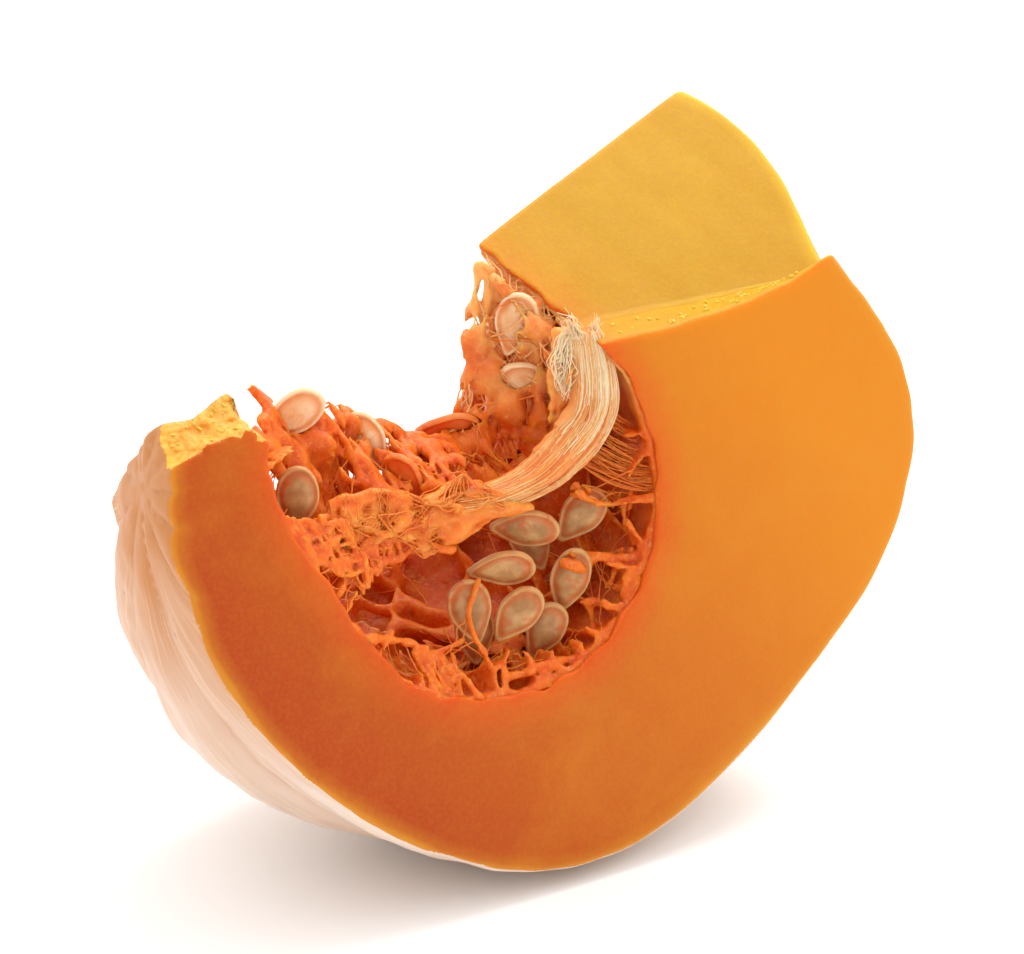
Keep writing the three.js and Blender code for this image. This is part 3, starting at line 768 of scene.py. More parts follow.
def band_strap():
    """The band as one closed strap: its points, its faces and how high each point stands in the grain."""
    u, turn = np.meshgrid(np.linspace(0, 1, STRAP_ALONG), np.linspace(0, 2 * math.pi, STRAP_AROUND,
                                                                      endpoint=False),
                          indexing="ij")
    u, turn = u.ravel(), turn.ravel()
    share = 0.5 - 0.5 * np.cos(turn)
    grain = strap_grain(share, u * STRAP_LENGTH) * np.where(np.sin(turn) > 0, 1.0, 0.4)
    p = strap_surface(share, u)
    ends = np.clip(np.minimum(u, 1 - u) * 14, 0.12, 1)
    side = np.sign(np.sin(turn)) * np.abs(np.sin(turn)) ** 0.6
    p[:, 1] -= side * (STRAP_THICK + grain) * ends
    edge = np.cos(turn) ** 8 * np.sign(np.cos(turn))
    p[:, 0] += edge * 0.5 * ripple(np.stack([u * STRAP_LENGTH, edge, 0 * u], -1), 3.0, 64)
    n, m = STRAP_ALONG, STRAP_AROUND
    number = np.arange(n * m).reshape(n, m)
    after = np.roll(number, -1, axis=1)
    quads = np.stack([number[:-1], after[:-1], after[1:], number[1:]], -1).reshape(-1, 4)
    half = m // 2
    caps = []
    for row in (number[0], number[-1]):
        for k in range(half - 1):
            caps.append([row[k], row[k + 1], row[-k - 2], row[-k - 1]])
    return p, np.concatenate([quads, np.array(caps)]), grain * 1.6


def pulp_band(space, grid, depth, cut, bare):
    """The curtain on the band's inner side, the lump at its lower end and the torn sheet it ends in."""
    tissue = space.empty_copy()
    veil(tissue, [(10, 11, 33), (8, 13, 33)], [(10.5, 12, 9), (5, 13, 8)], 9, 0.7, 1.2, 7, 0.1, 0.4)
    veil(tissue, [(10, 7, 30), (17, 6, 31)], [(8, 10, 37), (14, 9, 34.5)], 9, 0.5, 0.8, 8, 0.1, 0.3)
    sheet_top = [(-20, 10, -3.5), (-28, 10, -2), (-33.5, 9, -4.5), (-42, 9, -2.5), (-50, 10, 0), (-62, 11, -1)]
    sheet_low = [(-20, 9, -12), (-29, 9, -15), (-36, 9, -12.5), (-45, 10, -11), (-55, 10, -12), (-66, 8, -11)]
    tissue.strand(sheet_top, [1.1, 0.7, 0.8, 0.6, 0.8, 1.1], 0.6, 0.8, 21)
    veil(tissue, sheet_top, sheet_low, 60, 0.62, 1.5, 22, 0.12, 0.9)
    for seed, (a, b) in enumerate([((-66, 10, -3), (-38, 9, -13)), ((-60, 10, -10), (-26, 9, -3)),
                                   ((-50, 10, -1), (-20, 8.5, -12)), ((-40, 9, -14), (-12, 7.5, -8))]):
        drop = np.array((2.0, 0, -4.5))
        veil(tissue, [a, np.array(a) + drop], [b, np.array(b) + drop * (1, 1, -0.8)], 7, 0.5, 2.2,
             230 + seed, 0.1, 0.9)
    for number, (centre, radii) in enumerate([
        ((-23.5, 8.5, -8.5), (7, 3.4, 4)), ((-16, 7, -9.5), (7.5, 3.2, 2.8)), ((-28, 9, -12.5), (5, 2.6, 3.6)),
        ((-34, 9.5, -8.5), (5, 2.2, 3.2)), ((-10, 6.5, -10), (5, 2.4, 1.6)),
    ]):
        tissue.lump(centre, radii, (0, 6 * number, 0), 2.5)
    tissue.field += (0.32 * ripple(grid * np.float32((1, 1, 2.2)), 3.6, 51) + 0.3 * ripple(grid, 6, 52)).astype(np.float32)
    tissue.pocket((-49.5, 9, -6.5), (1.6, 6, 1.1), (0, 20, 0), 0.6)
    tissue.field = np.maximum(tissue.field, -depth + 0.2)
    tissue.field = np.maximum(tissue.field, cut - 1.2).astype(np.float32)
    for name in SEEDS:
        seed_room(tissue, name, 0.1, 0.4)
    return tissue


BACK_VEILS = [
    # left: the curtain of strips that falls to the right, and the membranes behind it
    ([(-60, 24, 22), (-50, 29, 20), (-40, 30, 15), (-30, 28, 9), (-20, 26, 4)],
     [(-54, 18, 2), (-45, 16, -1), (-36, 14, -3), (-29, 13, -4), (-21, 12, -4)], 34, 0.75, 1.8, 101, 0.22),
    ([(-70, 26, 25), (-58, 34, 20), (-46, 38, 14), (-34, 38, 8)],
     [(-74, 28, 5), (-60, 38, 0), (-46, 42, -4), (-34, 40, -8)], 22, 0.7, 2.2, 102, 0.2),
    ([(-80, 14, 20), (-74, 19, 22), (-66, 24, 21)], [(-80, 11, 6), (-72, 15, 5), (-60, 19, 2)], 22, 0.7,
     1.4, 103, 0.2),
    ([(-80, 13, 4), (-68, 20, 2), (-57, 24, 0)], [(-73, 12, -14), (-62, 17, -19), (-50, 19, -21)], 30, 0.8,
     1.6, 109, 0.05),
    ([(-66, 22, 10), (-57, 27, 9), (-47, 27, 7)], [(-64, 18, -9), (-54, 21, -11), (-44, 22, -12)], 30, 0.85,
     1.6, 110, 0.05),
    ([(-38, 30, 14), (-28, 30, 8), (-18, 32, 6), (-8, 33, 8)],
     [(-34, 22, -8), (-24, 22, -10), (-12, 24, -10), (0, 24, -8)], 26, 0.8, 2.0, 104, 0.2),
    # right: the mass that hangs behind the band
    ([(-2, 32, 50), (4, 28, 44), (8, 24, 38), (13, 20, 33)],
     [(-8, 32, 26), (-2, 30, 22), (4, 27, 18), (9, 23, 14)], 24, 0.8, 1.8, 105, 0.18),
    ([(-7, 32, 28), (-1, 30, 24), (6, 26, 20), (12, 21, 18)],
     [(-13, 34, 8), (-5, 32, 4), (4, 28, 2), (12, 24, 2)], 26, 0.8, 2.2, 106, 0.18),
    ([(0, 27, 46), (6, 22, 38)], [(14, 17, 24), (16, 15, 12)], 12, 0.7, 1.8, 107, 0.2),
    ([(-13, 34, 8), (-4, 32, 6), (6, 28, 4), (14, 24, 4)],
     [(-8, 36, -12), (2, 34, -14), (12, 30, -14), (22, 24, -10)], 22, 0.8, 2.4, 108, 0.2),
]
BACK_LUMPS = [
    ((-0.5, 31, 20), (4.5, 4, 6)), ((-3, 32, 27), (3, 3, 3)), ((3, 28, 10), (6, 4, 4.5)), ((8, 24, 34), (4, 3, 4)),
    ((-58, 25, 12), (8, 5, 5)), ((-46, 30, 10), (7, 5, 5)), ((-32, 28, 2), (7, 5, 4)), ((-18, 30, 1), (8, 4, 4)),
    ((-76, 16, 14), (5, 4, 6)), ((-71, 22, 24.5), (6, 3, 0.9)), ((-6, 32, 4), (6, 4, 4)), ((-67, 22, 10), (6, 5, 5)),
]


def pulp_back(space, grid, depth, cut, bare):
    """The mass behind: veils and lumps over a lining of pockets at the back of the hollow."""
    tissue = space.empty_copy()
    middles = scattered(110, (-92, 14, -62), (36, 80, 50), 9.5, 77)
    first, second = foam(tissue, middles)
    uneven = ripple(grid, 8, 81).astype(np.float32)
    wall = (second - first) / 2 - (0.5 + 0.35 * uneven)
    net = soft_min(wall, depth - 1.2, 1.6)
    net = soft_max(net, depth - (7.5 - 0.6 * (9.5 - first)), 0.8)
    net = np.maximum(net, -depth - 0.9)
    net = np.maximum(net, 22 - grid[..., 1] + 3 * uneven)
    net = soft_max(net, bare + 1.0, 1.0)
    tissue.field = net.astype(np.float32)
    for number, (upper, lower, count, radius, bend, seed, gaps) in enumerate(BACK_VEILS):
        veil(tissue, upper, lower, count, radius, bend, seed, gaps, 0.9)
    for number, (centre, radii) in enumerate(BACK_LUMPS):
        tissue.lump(centre, radii, (15 * number, 25 * number, 40 * number), 2.0)
    tissue.field += (0.45 * ripple(grid, 3.4, 91) + 0.35 * ripple(grid, 7, 92)).astype(np.float32)
    for name in SEEDS:
        seed_room(tissue, name, 0.3, 0.6)
    tissue.carve((-34, -2, -54), (28, 40, -2), oval((-4, 10, -32), (21, 20, 19), (0, 0, 0)), 2.0)
    tissue.field = np.maximum(tissue.field, -depth - 0.9)
    tissue.field = np.maximum(tissue.field, cut - 0.8).astype(np.float32)
    return tissue


CRESTS = {}     # points on the ridges of each pulp piece, where its finest threads start
CREST = 0.35    # a point this sharp is on a ridge


def make_pulp(name, tissue, finish, smallest=200):
    points, faces, ridge = tissue.mesh()
    slots = [0] * len(faces)
    if name.startswith("pulp_band"):
        strap, quads, grain = band_strap()
        faces += (quads + len(points)).tolist()
        points = np.concatenate([points, strap])
        ridge = np.concatenate([ridge, grain])
        slots += [1] * len(quads)
    CRESTS[name] = points[ridge > CREST]
    mesh = mesh_from(name, points, faces)
    mesh.polygons.foreach_set("material_index", slots)
    # paler towards the top of the pulp on the right: partly painted light from above, partly the paler fibres there
    give(mesh, "pale", np.clip((points[:, 0] + 14) / 10, 0, 1) * np.clip((points[:, 2] - 6) / 22, 0, 1))
    give(mesh, "ridge", ridge)
    bm = bmesh.new()
    bm.from_mesh(mesh)
    drop_crumbs(bm, smallest)
    bmesh.ops.recalc_face_normals(bm, faces=bm.faces)
    bm.to_mesh(mesh)
    bm.free()
    smooth(mesh)
    for each in finish:
        mesh.materials.append(each)
    mesh.transform(TO_PART)
    return shown(name, mesh)


def drop_crumbs(bm, smallest):
    """Deletes the parts of a mesh with few points, which would hang in the air."""
    doomed = [vertex for group in islands(bm) if len(group) < smallest for vertex in group]
    bmesh.ops.delete(bm, geom=doomed, context="VERTS")


def thread_tree(finish):
    """Geometry nodes that turn polylines into thin round threads."""
    group = bpy.data.node_groups.new("threads", "GeometryNodeTree")
    group.interface.new_socket("Lines", in_out="INPUT", socket_type="NodeSocketGeometry")
    group.interface.new_socket("Sides", in_out="INPUT", socket_type="NodeSocketInt")
    group.interface.new_socket("Thickness", in_out="INPUT", socket_type="NodeSocketFloat")
    group.interface.new_socket("Threads", in_out="OUTPUT", socket_type="NodeSocketGeometry")
    tree = Tree(group)
    given = tree.add("NodeGroupInput").outputs
    line = tree.add("GeometryNodeMeshToCurve", {"Mesh": given["Lines"]}).outputs["Curve"]
    size = tree.add("GeometryNodeInputNamedAttribute", {"Name": "size"},
                    data_type="FLOAT").outputs["Attribute"]
    size = tree.times(size, given["Thickness"])
    line = tree.add("GeometryNodeSetCurveRadius", {"Curve": line, "Radius": size}).outputs["Curve"]
    ring = tree.add("GeometryNodeCurvePrimitiveCircle", {"Resolution": given["Sides"],
                                                         "Radius": 1.0}).outputs["Curve"]
    tube = tree.add("GeometryNodeCurveToMesh", {"Curve": line, "Profile Curve": ring, "Fill Caps": True})
    tree.tree.links.new(size, tube.inputs["Scale"])
    tube = tree.add("GeometryNodeSetShadeSmooth", {"Geometry": tube.outputs["Mesh"]}).outputs["Geometry"]
    tube = tree.add("GeometryNodeRealizeInstances", {"Geometry": tube}).outputs["Geometry"]
    node = tree.add("GeometryNodeSetMaterial", {"Geometry": tube})
    node.inputs["Material"].default_value = finish
    tree.add("NodeGroupOutput", {"Threads": node.outputs["Geometry"]})
    return group


def grown(name, base, group, **sizes):
    """The plain mesh that a geometry tree makes of a base mesh."""
    thing = shown(name, base)
    step = thing.modifiers.new("grow", "NODES")
    step.node_group = group
    for item in group.interface.items_tree:
        if item.in_out == "INPUT" and item.name in sizes:
            step[item.identifier] = sizes[item.name]
    bpy.context.view_layer.update()
    mesh = bpy.data.meshes.new_from_object(thing.evaluated_get(bpy.context.evaluated_depsgraph_get()))
    thing.modifiers.remove(step)
    thing.data = mesh
    mesh.name = name
    return thing


def crumb_tree(finish):
    """Geometry nodes that put a small uneven crumb on each point of a mesh."""
    group = bpy.data.node_groups.new("crumbs", "GeometryNodeTree")
    group.interface.new_socket("Places", in_out="INPUT", socket_type="NodeSocketGeometry")
    group.interface.new_socket("Size", in_out="INPUT", socket_type="NodeSocketFloat")
    group.interface.new_socket("Seed", in_out="INPUT", socket_type="NodeSocketInt")
    group.interface.new_socket("Crumbs", in_out="OUTPUT", socket_type="NodeSocketGeometry")
    tree = Tree(group)
    given = tree.add("NodeGroupInput").outputs
    grain = tree.add("GeometryNodeMeshIcoSphere", {"Radius": given["Size"],
                                                   "Subdivisions": 3}).outputs["Mesh"]
    place = tree.add("GeometryNodeInputPosition").outputs[0]
    lumpy = tree.add("ShaderNodeTexNoise", {"Vector": place, "Scale": 1400.0, "Detail": 2.0}).outputs["Fac"]
    normal = tree.add("GeometryNodeInputNormal").outputs[0]
    push = tree.times(tree.math("SUBTRACT", lumpy), given["Size"])
    push = tree.add("ShaderNodeVectorMath", {0: normal, "Scale": push}, operation="SCALE").outputs[0]
    grain = tree.add("GeometryNodeSetPosition", {"Geometry": grain, "Offset": push}).outputs[0]
    turn = tree.add("FunctionNodeRandomValue", {0: (0, 0, 0), 1: (6.28, 6.28, 6.28), "Seed": given["Seed"]},
                    data_type="FLOAT_VECTOR").outputs[0]
    scale = tree.add("FunctionNodeRandomValue", {0: (0.3, 0.3, 0.25), 1: (1.3, 0.9, 0.7),
                                                 "Seed": given["Seed"]},
                     data_type="FLOAT_VECTOR").outputs[0]
    many = tree.add("GeometryNodeInstanceOnPoints", {"Points": given["Places"], "Instance": grain,
                                                     "Rotation": turn, "Scale": scale}).outputs[0]
    many = tree.add("GeometryNodeRealizeInstances", {"Geometry": many}).outputs["Geometry"]
    many = tree.add("GeometryNodeSetShadeSmooth", {"Geometry": many}).outputs["Geometry"]
    node = tree.add("GeometryNodeSetMaterial", {"Geometry": many})
    node.inputs["Material"].default_value = finish
    tree.add("NodeGroupOutput", {"Crumbs": node.outputs["Geometry"]})
    return group


def crumbs(name, finish, fields, seed):
    """Crumbs of flesh that the knife left on the upper cut, in fields given as (count, low x y, high x y)."""
    random = np.random.default_rng(seed)
    spots = np.concatenate([random.uniform(low, high, (count, 2)) for count, low, high in fields])
    x, y = spots.T
    places = np.stack([x, y, cut_height(x, y)], -1)
    inside = (rind_side(places) < -2) & (hollow_side(places) < -2) & (back_side(*places.T) < -1.5)
    mesh = bpy.data.meshes.new(name + "_places")
    mesh.from_pydata((places[inside] / 1000).tolist(), [], [])
    thing = grown(name, mesh, crumb_tree(finish), Size=0.0007, Seed=seed)
    thing.data.transform(TO_PART @ Matrix.Scale(1000, 4))
    return thing


def threads(name, lines, finish, thickness=1.0):
    """Fine threads, each a line of points in the cut frame with a size in mm at each point."""
    points = np.concatenate([line for line, _ in lines])
    sizes = np.concatenate([size for _, size in lines])
    ends = np.cumsum([len(line) for line, _ in lines])
    first = np.arange(len(points) - 1)
    edges = first[~np.isin(first, ends - 1)]
    mesh = bpy.data.meshes.new(name + "_lines")
    mesh.from_pydata((points / 1000).tolist(), np.stack([edges, edges + 1], -1).tolist(), [])
    give(mesh, "size", sizes / 1000)
    thing = grown(name, mesh, thread_tree(finish), Sides=5, Thickness=thickness)
    thing.data.transform(TO_PART @ Matrix.Scale(1000, 4))
    return thing


def between(a, b, sag, random, steps=9):
    """A thread from one point to another, bent a little and thinnest in its middle."""
    t = np.linspace(0, 1, steps)
    arch = np.sin(math.pi * t)[:, None]
    line = a + (b - a) * t[:, None] + arch * random.normal(size=3) * sag
    line += arch * np.sin(t * random.uniform(4, 12) + random.uniform(0, 6))[:,
                                                                            None] * random.normal(size=3) * sag * 0.5
    return line


def stretched(crests, count, reach, size, seed, keep):
    """Threads between neighbouring ridges of the pulp."""
    random = np.random.default_rng(seed)
    lines = []
    for _ in range(count * 30):
        a, b = crests[random.integers(len(crests), size=2)]
        far = np.linalg.norm(b - a)
        if not reach[0] < far < reach[1] or not keep((a + b) / 2):
            continue
        line = between(a, b, 0.07 * far, random)
        thin = size * random.uniform(0.5, 1.3)
        lines.append((line, thin * (1.0 + 0.8 * np.linspace(-1, 1, len(line)) ** 4)))
        if len(lines) == count:
            break
    return lines


def strap_threads(count, seed, furthest=0.85):
    """Fine fibres that lie along the band and start no further along it than the given share."""
    random = np.random.default_rng(seed)
    lines = []
    for _ in range(count):
        start = random.uniform(0, furthest)
        length = random.uniform(0.12, 0.5)
        along = np.linspace(start, min(start + length, 1), 24)
        share = np.clip(random.uniform(0.03, 0.97) + np.cumsum(random.normal(size=24) * 0.006), 0.02, 0.98)
        lift = STRAP_THICK * np.sin(np.arccos(np.clip(1 - 2 * share, -1, 1))) ** 0.6 + strap_grain(share, along * STRAP_LENGTH)
        line = strap_surface(share, along)
        line[:, 1] -= lift + 0.02
        lines.append((line, np.full(24, random.uniform(0.07, 0.17))))
    return lines


def tuft(root, tip, width, count, seed, size=0.14):
    """A frayed tuft: fibres from near one point that spread towards another."""
    random = np.random.default_rng(seed)
    root, tip = np.array(root, float), np.array(tip, float)
    lines = []
    for _ in range(count):
        a = root + random.normal(size=3) * width * 0.45
        b = tip + random.normal(size=3) * width * (0.6, 0.4, 0.6)
        b = a + (b - a) * random.uniform(0.55, 1.1)
        line = between(a, b, 0.12 * np.linalg.norm(b - a), random)
        lines.append((line, size * random.uniform(0.6, 1.3) * np.linspace(1.3, 0.5, len(line))))
    return lines


SEED_RINGS = [
    # share of the way to the edge, half thickness in mm
    (0.0, 1.6), (0.25, 1.58), (0.45, 1.5), (0.58, 1.3), (0.68, 1.0), (0.76, 0.72), (0.82, 0.6),
    (0.87, 0.74), (0.91, 0.92), (0.95, 0.88), (0.98, 0.6), (1.0, 0.0),
]
SEED_AROUND = 72
# Half of the seed's outline, as shares of its half length and half width.
SEED_SIDE = [(-1, 0), (-0.95, 0.17), (-0.5, 0.66), (-0.08, 0.97), (0.32, 1.0), (0.7, 0.8), (0.93, 0.42), (1, 0)]


def seed_outline(count):
    """Points round the seed's edge: pointed at one end, blunt at the other."""
    size = np.array([SEED_LENGTH / 2, SEED_WIDTH / 2])
    top = through([(x, y, 0) for x, y in SEED_SIDE], np.linspace(0, 1, count // 2 + 1))[:, :2] * size
    return np.concatenate([top, top[-2:0:-1] * (1, -1)])


def make_seed(name, finish, seed):
    random = np.random.default_rng(seed)
    edge = seed_outline(SEED_AROUND)
    n = len(edge)
    heart = np.array([SEED_LENGTH * 0.04, 0])
    points, rims = [[heart[0], 0, SEED_RINGS[0][1]]], [0.0]
    for share, thick in SEED_RINGS[1:]:
        for x, y in heart + (edge - heart) * share:
            points.append([x, y, thick])
            rims.append(share)
    upper = len(points)
    points.append([heart[0], 0, -SEED_RINGS[0][1]])
    rims.append(0.0)
    for share, thick in SEED_RINGS[1:-1]:
        for x, y in heart + (edge - heart) * share:
            points.append([x, y, -thick])
            rims.append(share)

    def ring(k, side):
        return 1 + k * n if side > 0 else upper + 1 + k * n

    last = len(SEED_RINGS) - 2
    faces = []
    for side in (1, -1):
        middle = 0 if side > 0 else upper
        for j in range(n):
            k = (j + 1) % n
            faces.append([middle, ring(0, side) + j, ring(0, side) + k][:: side])
            for step in range(last):
                outer = ring(step + 1, side) if (side > 0 or step + 1 < last) else ring(last, 1)
                faces.append([ring(step, side) + j, outer + j, outer + k, ring(step, side) + k][:: side])
    p = np.array(points)
    p[:, 2] += 0.10 * ripple(p, 4, seed) + 0.5 * math.cos(seed) * (p[:, 0] / SEED_LENGTH) ** 2 * 2
    p[:, 1] += 0.25 * ripple(p, 9, seed + 1)
    p *= np.array([random.uniform(0.95, 1.02), random.uniform(0.93, 1.02), 1])
    mesh = mesh_from(name + "_body", p, faces)
    give(mesh, "rim", rims)
    face_outward(mesh)
    smooth(mesh)
    mesh.materials.append(finish)
    mesh.transform(TO_PART @ seed_turn(name))
    return shown(name + "_body", mesh)


def paint(red, green, blue):
    """A colour as read off the photo, 0 to 255, as the renderer wants it."""
    line = [c / 255 for c in (red, green, blue)]
    return tuple(c / 12.92 if c <= 0.04045 else ((c + 0.055) / 1.055) ** 2.4 for c in line) + (1.0,)


class Tree:
    """Short names for the nodes of a material or a geometry tree."""

    def __init__(self, tree):
        self.tree = tree
        tree.nodes.clear()

    def add(self, kind, sockets=None, **settings):
        node = self.tree.nodes.new(kind)
        for name, value in settings.items():
            setattr(node, name, value)
        for key, value in (sockets or {}).items():
            if isinstance(value, bpy.types.NodeSocket):
                self.tree.links.new(value, node.inputs[key])
            else:
                node.inputs[key].default_value = value
        return node

    def read(self, name):
        return self.add("ShaderNodeAttribute", attribute_name=name).outputs["Fac"]

    def ramp(self, value, stops):
        node = self.add("ShaderNodeValToRGB", {"Fac": value})
        ramp = node.color_ramp
        while len(ramp.elements) < len(stops):
            ramp.elements.new(0.5)
        for element, (place, colour) in zip(ramp.elements, sorted(stops, key=lambda s: s[0])):
            element.position = place
            element.color = colour if not isinstance(colour, (int, float)) else (colour,) * 3 + (1,)
        return node.outputs["Color"]

    def spread(self, value, low, high, a=0.0, b=1.0):
        return self.add("ShaderNodeMapRange", {"Value": value, "From Min": low, "From Max": high,
                                               "To Min": a, "To Max": b}).outputs["Result"]

    def mix(self, share, a, b, blend="MIX"):
        node = self.add("ShaderNodeMix", {0: share, 6: a, 7: b}, data_type="RGBA", blend_type=blend)
        return node.outputs[2]

    def math(self, operation, a, b=0.5):
        return self.add("ShaderNodeMath", {0: a, 1: b}, operation=operation).outputs[0]

    def times(self, a, b):
        return self.math("MULTIPLY", a, b)

    def plus(self, a, b):
        return self.math("ADD", a, b)

    def noise(self, where, size, detail=3.0, rough=0.5, distortion=0.0):
        """Noise with features of about the given size in metres."""
        return self.add("ShaderNodeTexNoise", {"Vector": where, "Scale": 1 / size, "Detail": detail,
                                               "Roughness": rough, "Distortion": distortion}).outputs["Fac"]

    def bump(self, height, distance, strength=1.0, before=None):
        sockets = {"Height": height, "Distance": distance, "Strength": strength}
        if before is not None:
            sockets["Normal"] = before
        return self.add("ShaderNodeBump", sockets).outputs["Normal"]


def finish_of(name, **sockets):
    material = bpy.data.materials.new(name)
    material.use_nodes = True
    tree = Tree(material.node_tree)
    shader = tree.add("ShaderNodeBsdfPrincipled")
    tree.add("ShaderNodeOutputMaterial", {"Surface": shader.outputs[0]})
    for key, value in sockets.items():
        shader.inputs[key.replace("_", " ")].default_value = value
    where = tree.add("ShaderNodeTexCoord").outputs["Object"]
    return material, tree, shader, where


def feed(tree, shader, **sockets):
    for key, value in sockets.items():
        tree.tree.links.new(value, shader.inputs[key.replace("_", " ")])


def cut_flesh(name, left, right, rim, red, shine, pale_end=0.0):
    """Wet cut flesh: its colour drifts from the lower left to the upper right, darker to the lower left as painted
    shade, with a thin rim at the rind and red at the hollow.
    """
    material, tree, shader, where = finish_of(
        name, Subsurface_Weight=0.5, Subsurface_Radius=(1.0, 0.42, 0.12), Subsurface_Scale=0.005,
        Subsurface_Anisotropy=0.6, IOR=1.36, Specular_IOR_Level=0.35)
    blotch = tree.noise(where, 0.022, 4, 0.55)
    grain = tree.noise(where, 0.0011, 3, 0.6)
    drift = tree.times(tree.math("SUBTRACT", blotch), 30.0)
    across = tree.plus(tree.times(tree.read("cut_x"), 0.8),
                       tree.times(tree.read("cut_z"), 0.6))
    # painted shade: the flesh is darker towards the lower left of each cut, where less light falls, and lighter to the
    # upper right; the blotches add random drift
    body = tree.mix(tree.spread(tree.plus(across, drift), -95, 65), left, right)
    rind = tree.plus(tree.read("rind_mm"), tree.times(tree.math("SUBTRACT", blotch), 4.0))
    body = tree.mix(tree.ramp(tree.spread(rind, 0, 20), [(0.0, 0.85), (0.04, 0.75), (0.1, 0.3), (0.25, 0.0)]), body, rim)
    hollow = tree.plus(tree.read("hollow_mm"), tree.times(tree.math("SUBTRACT", blotch), 6.0))
    body = tree.mix(tree.spread(hollow, 10, 0, 0, 0.7), body, red)
    amber = tree.noise(where, 0.035, 5, 0.6, 0.4)
    body = tree.mix(tree.spread(amber, 0.48, 0.7, 0, 0.24), body, tree.mix(0.6, right, rim))
    body = tree.mix(tree.spread(grain, 0.4, 0.7, 0, 0.12), body, rim)
    torn = tree.times(tree.spread(tree.read("cut_x"), -74, -84), tree.spread(grain, 0.35, 0.6, 0.2, 0.9))
    body = tree.mix(tree.times(torn, pale_end), body, paint(246, 196, 100))
    feed(tree, shader, Base_Color=body, Roughness=tree.spread(grain, 0.3, 0.7, shine, shine + 0.16))
    height = tree.plus(grain, tree.times(tree.noise(where, 0.004, 3), 1.5))
    feed(tree, shader, Normal=tree.bump(height, 0.00018, 0.7))
    return material


def rind_skin():
    """Pale tan skin with fine streaks along the ribs, painted shade in the grooves between them, small scars and a few
    brown spots.
    """
    material, tree, shader, where = finish_of(
        "tan_rind", Subsurface_Weight=0.15, Subsurface_Radius=(1.0, 0.6,
                                                               0.35), Subsurface_Scale=0.003, IOR=1.45)
    turn, along = tree.read("rib_turn"), tree.read("rib_along")
    streaky = tree.add("ShaderNodeCombineXYZ", {"X": tree.times(turn, 0.001),
                                                "Y": tree.times(along, 0.00012)}).outputs[0]
    fine = tree.noise(streaky, 0.0022, 4, 0.6)
    wide = tree.noise(streaky, 0.011, 3, 0.5)
    patch = tree.noise(where, 0.05, 2, 0.5)
    low = tree.plus(tree.read("cut_z"), tree.times(patch, 50.0))
    skin = tree.mix(tree.spread(low, -40, 20), paint(232, 212, 198), paint(196, 128, 70))
    away = tree.spread(along, 108.5, 104)
    skin = tree.mix(tree.times(tree.spread(wide, 0.4, 0.7, 0, 0.55), away), skin, paint(200, 146, 96))
    skin = tree.mix(tree.times(tree.spread(fine, 0.5, 0.75, 0, 0.55), away), skin, paint(244, 220, 190))
    # painted shade: the skin is darker in the grooves between the ribs
    skin = tree.mix(tree.spread(tree.read("rib_groove"), 0.35, 1.0, 0, 0.5), skin, paint(200, 138, 90))
    specks = tree.add("ShaderNodeTexVoronoi", {"Vector": where, "Scale": 1 / 0.014,
                                               "Randomness": 1.0}).outputs["Distance"]
    skin = tree.mix(tree.spread(specks, 0.075, 0.03, 0, 0.5), skin, paint(150, 95, 60))
    feed(tree, shader, Base_Color=skin, Roughness=tree.spread(fine, 0.3, 0.7, 0.42, 0.58))
    height = tree.plus(tree.times(tree.times(fine, away), 0.7),
                       tree.noise(where, 0.0009, 3))
    feed(tree, shader, Normal=tree.bump(height, 0.00022, 0.6))
    return material


def wet_pulp(name, pocket_shade_colour, body_colour, ridge_tone_and_highlight, pale, pale_share, scale=0.003, weight=0.7):
    """Wet fibrous tissue: deep red in its pockets as painted shade, orange on its walls and pale along its ridges,
    partly as painted highlight.
    """
    material, tree, shader, where = finish_of(
        name, Subsurface_Weight=weight, Subsurface_Radius=(1.0, 0.32, 0.08), Subsurface_Scale=scale,
        Subsurface_Anisotropy=0.3, IOR=1.36, Specular_IOR_Level=0.4, Coat_Weight=0.12, Coat_Roughness=0.2)
    ridge = tree.read("ridge")
    patch = tree.noise(where, 0.009, 4, 0.6)
    fine = tree.noise(where, 0.0012, 4, 0.65, 0.6)
    # painted shade in the pockets and painted highlight on the ridges, read from how sharply the surface bends; the
    # ridges' paler tone is partly the tissue's own
    colour = tree.ramp(tree.spread(ridge, -1.0, 1.6), [(0.0, pocket_shade_colour), (0.38, body_colour), (0.7, ridge_tone_and_highlight)])
    colour = tree.mix(tree.spread(patch, 0.42, 0.72, 0, 0.6), colour, ridge_tone_and_highlight)
    # painted light from above, partly the paler fibres: the pulp turns paler towards the top on the right
    colour = tree.mix(tree.times(tree.read("pale"), tree.spread(patch, 0.35, 0.65, 0.2, 0.75)), colour, pale)
    colour = tree.mix(tree.spread(fine, 0.52, 0.72, 0, pale_share), colour, pale)
    feed(tree, shader, Base_Color=colour, Roughness=tree.spread(fine, 0.3, 0.7, 0.32, 0.55))
    height = tree.plus(fine, tree.times(patch, 0.5))
    feed(tree, shader, Normal=tree.bump(height, 0.00035, 0.8))
    return material


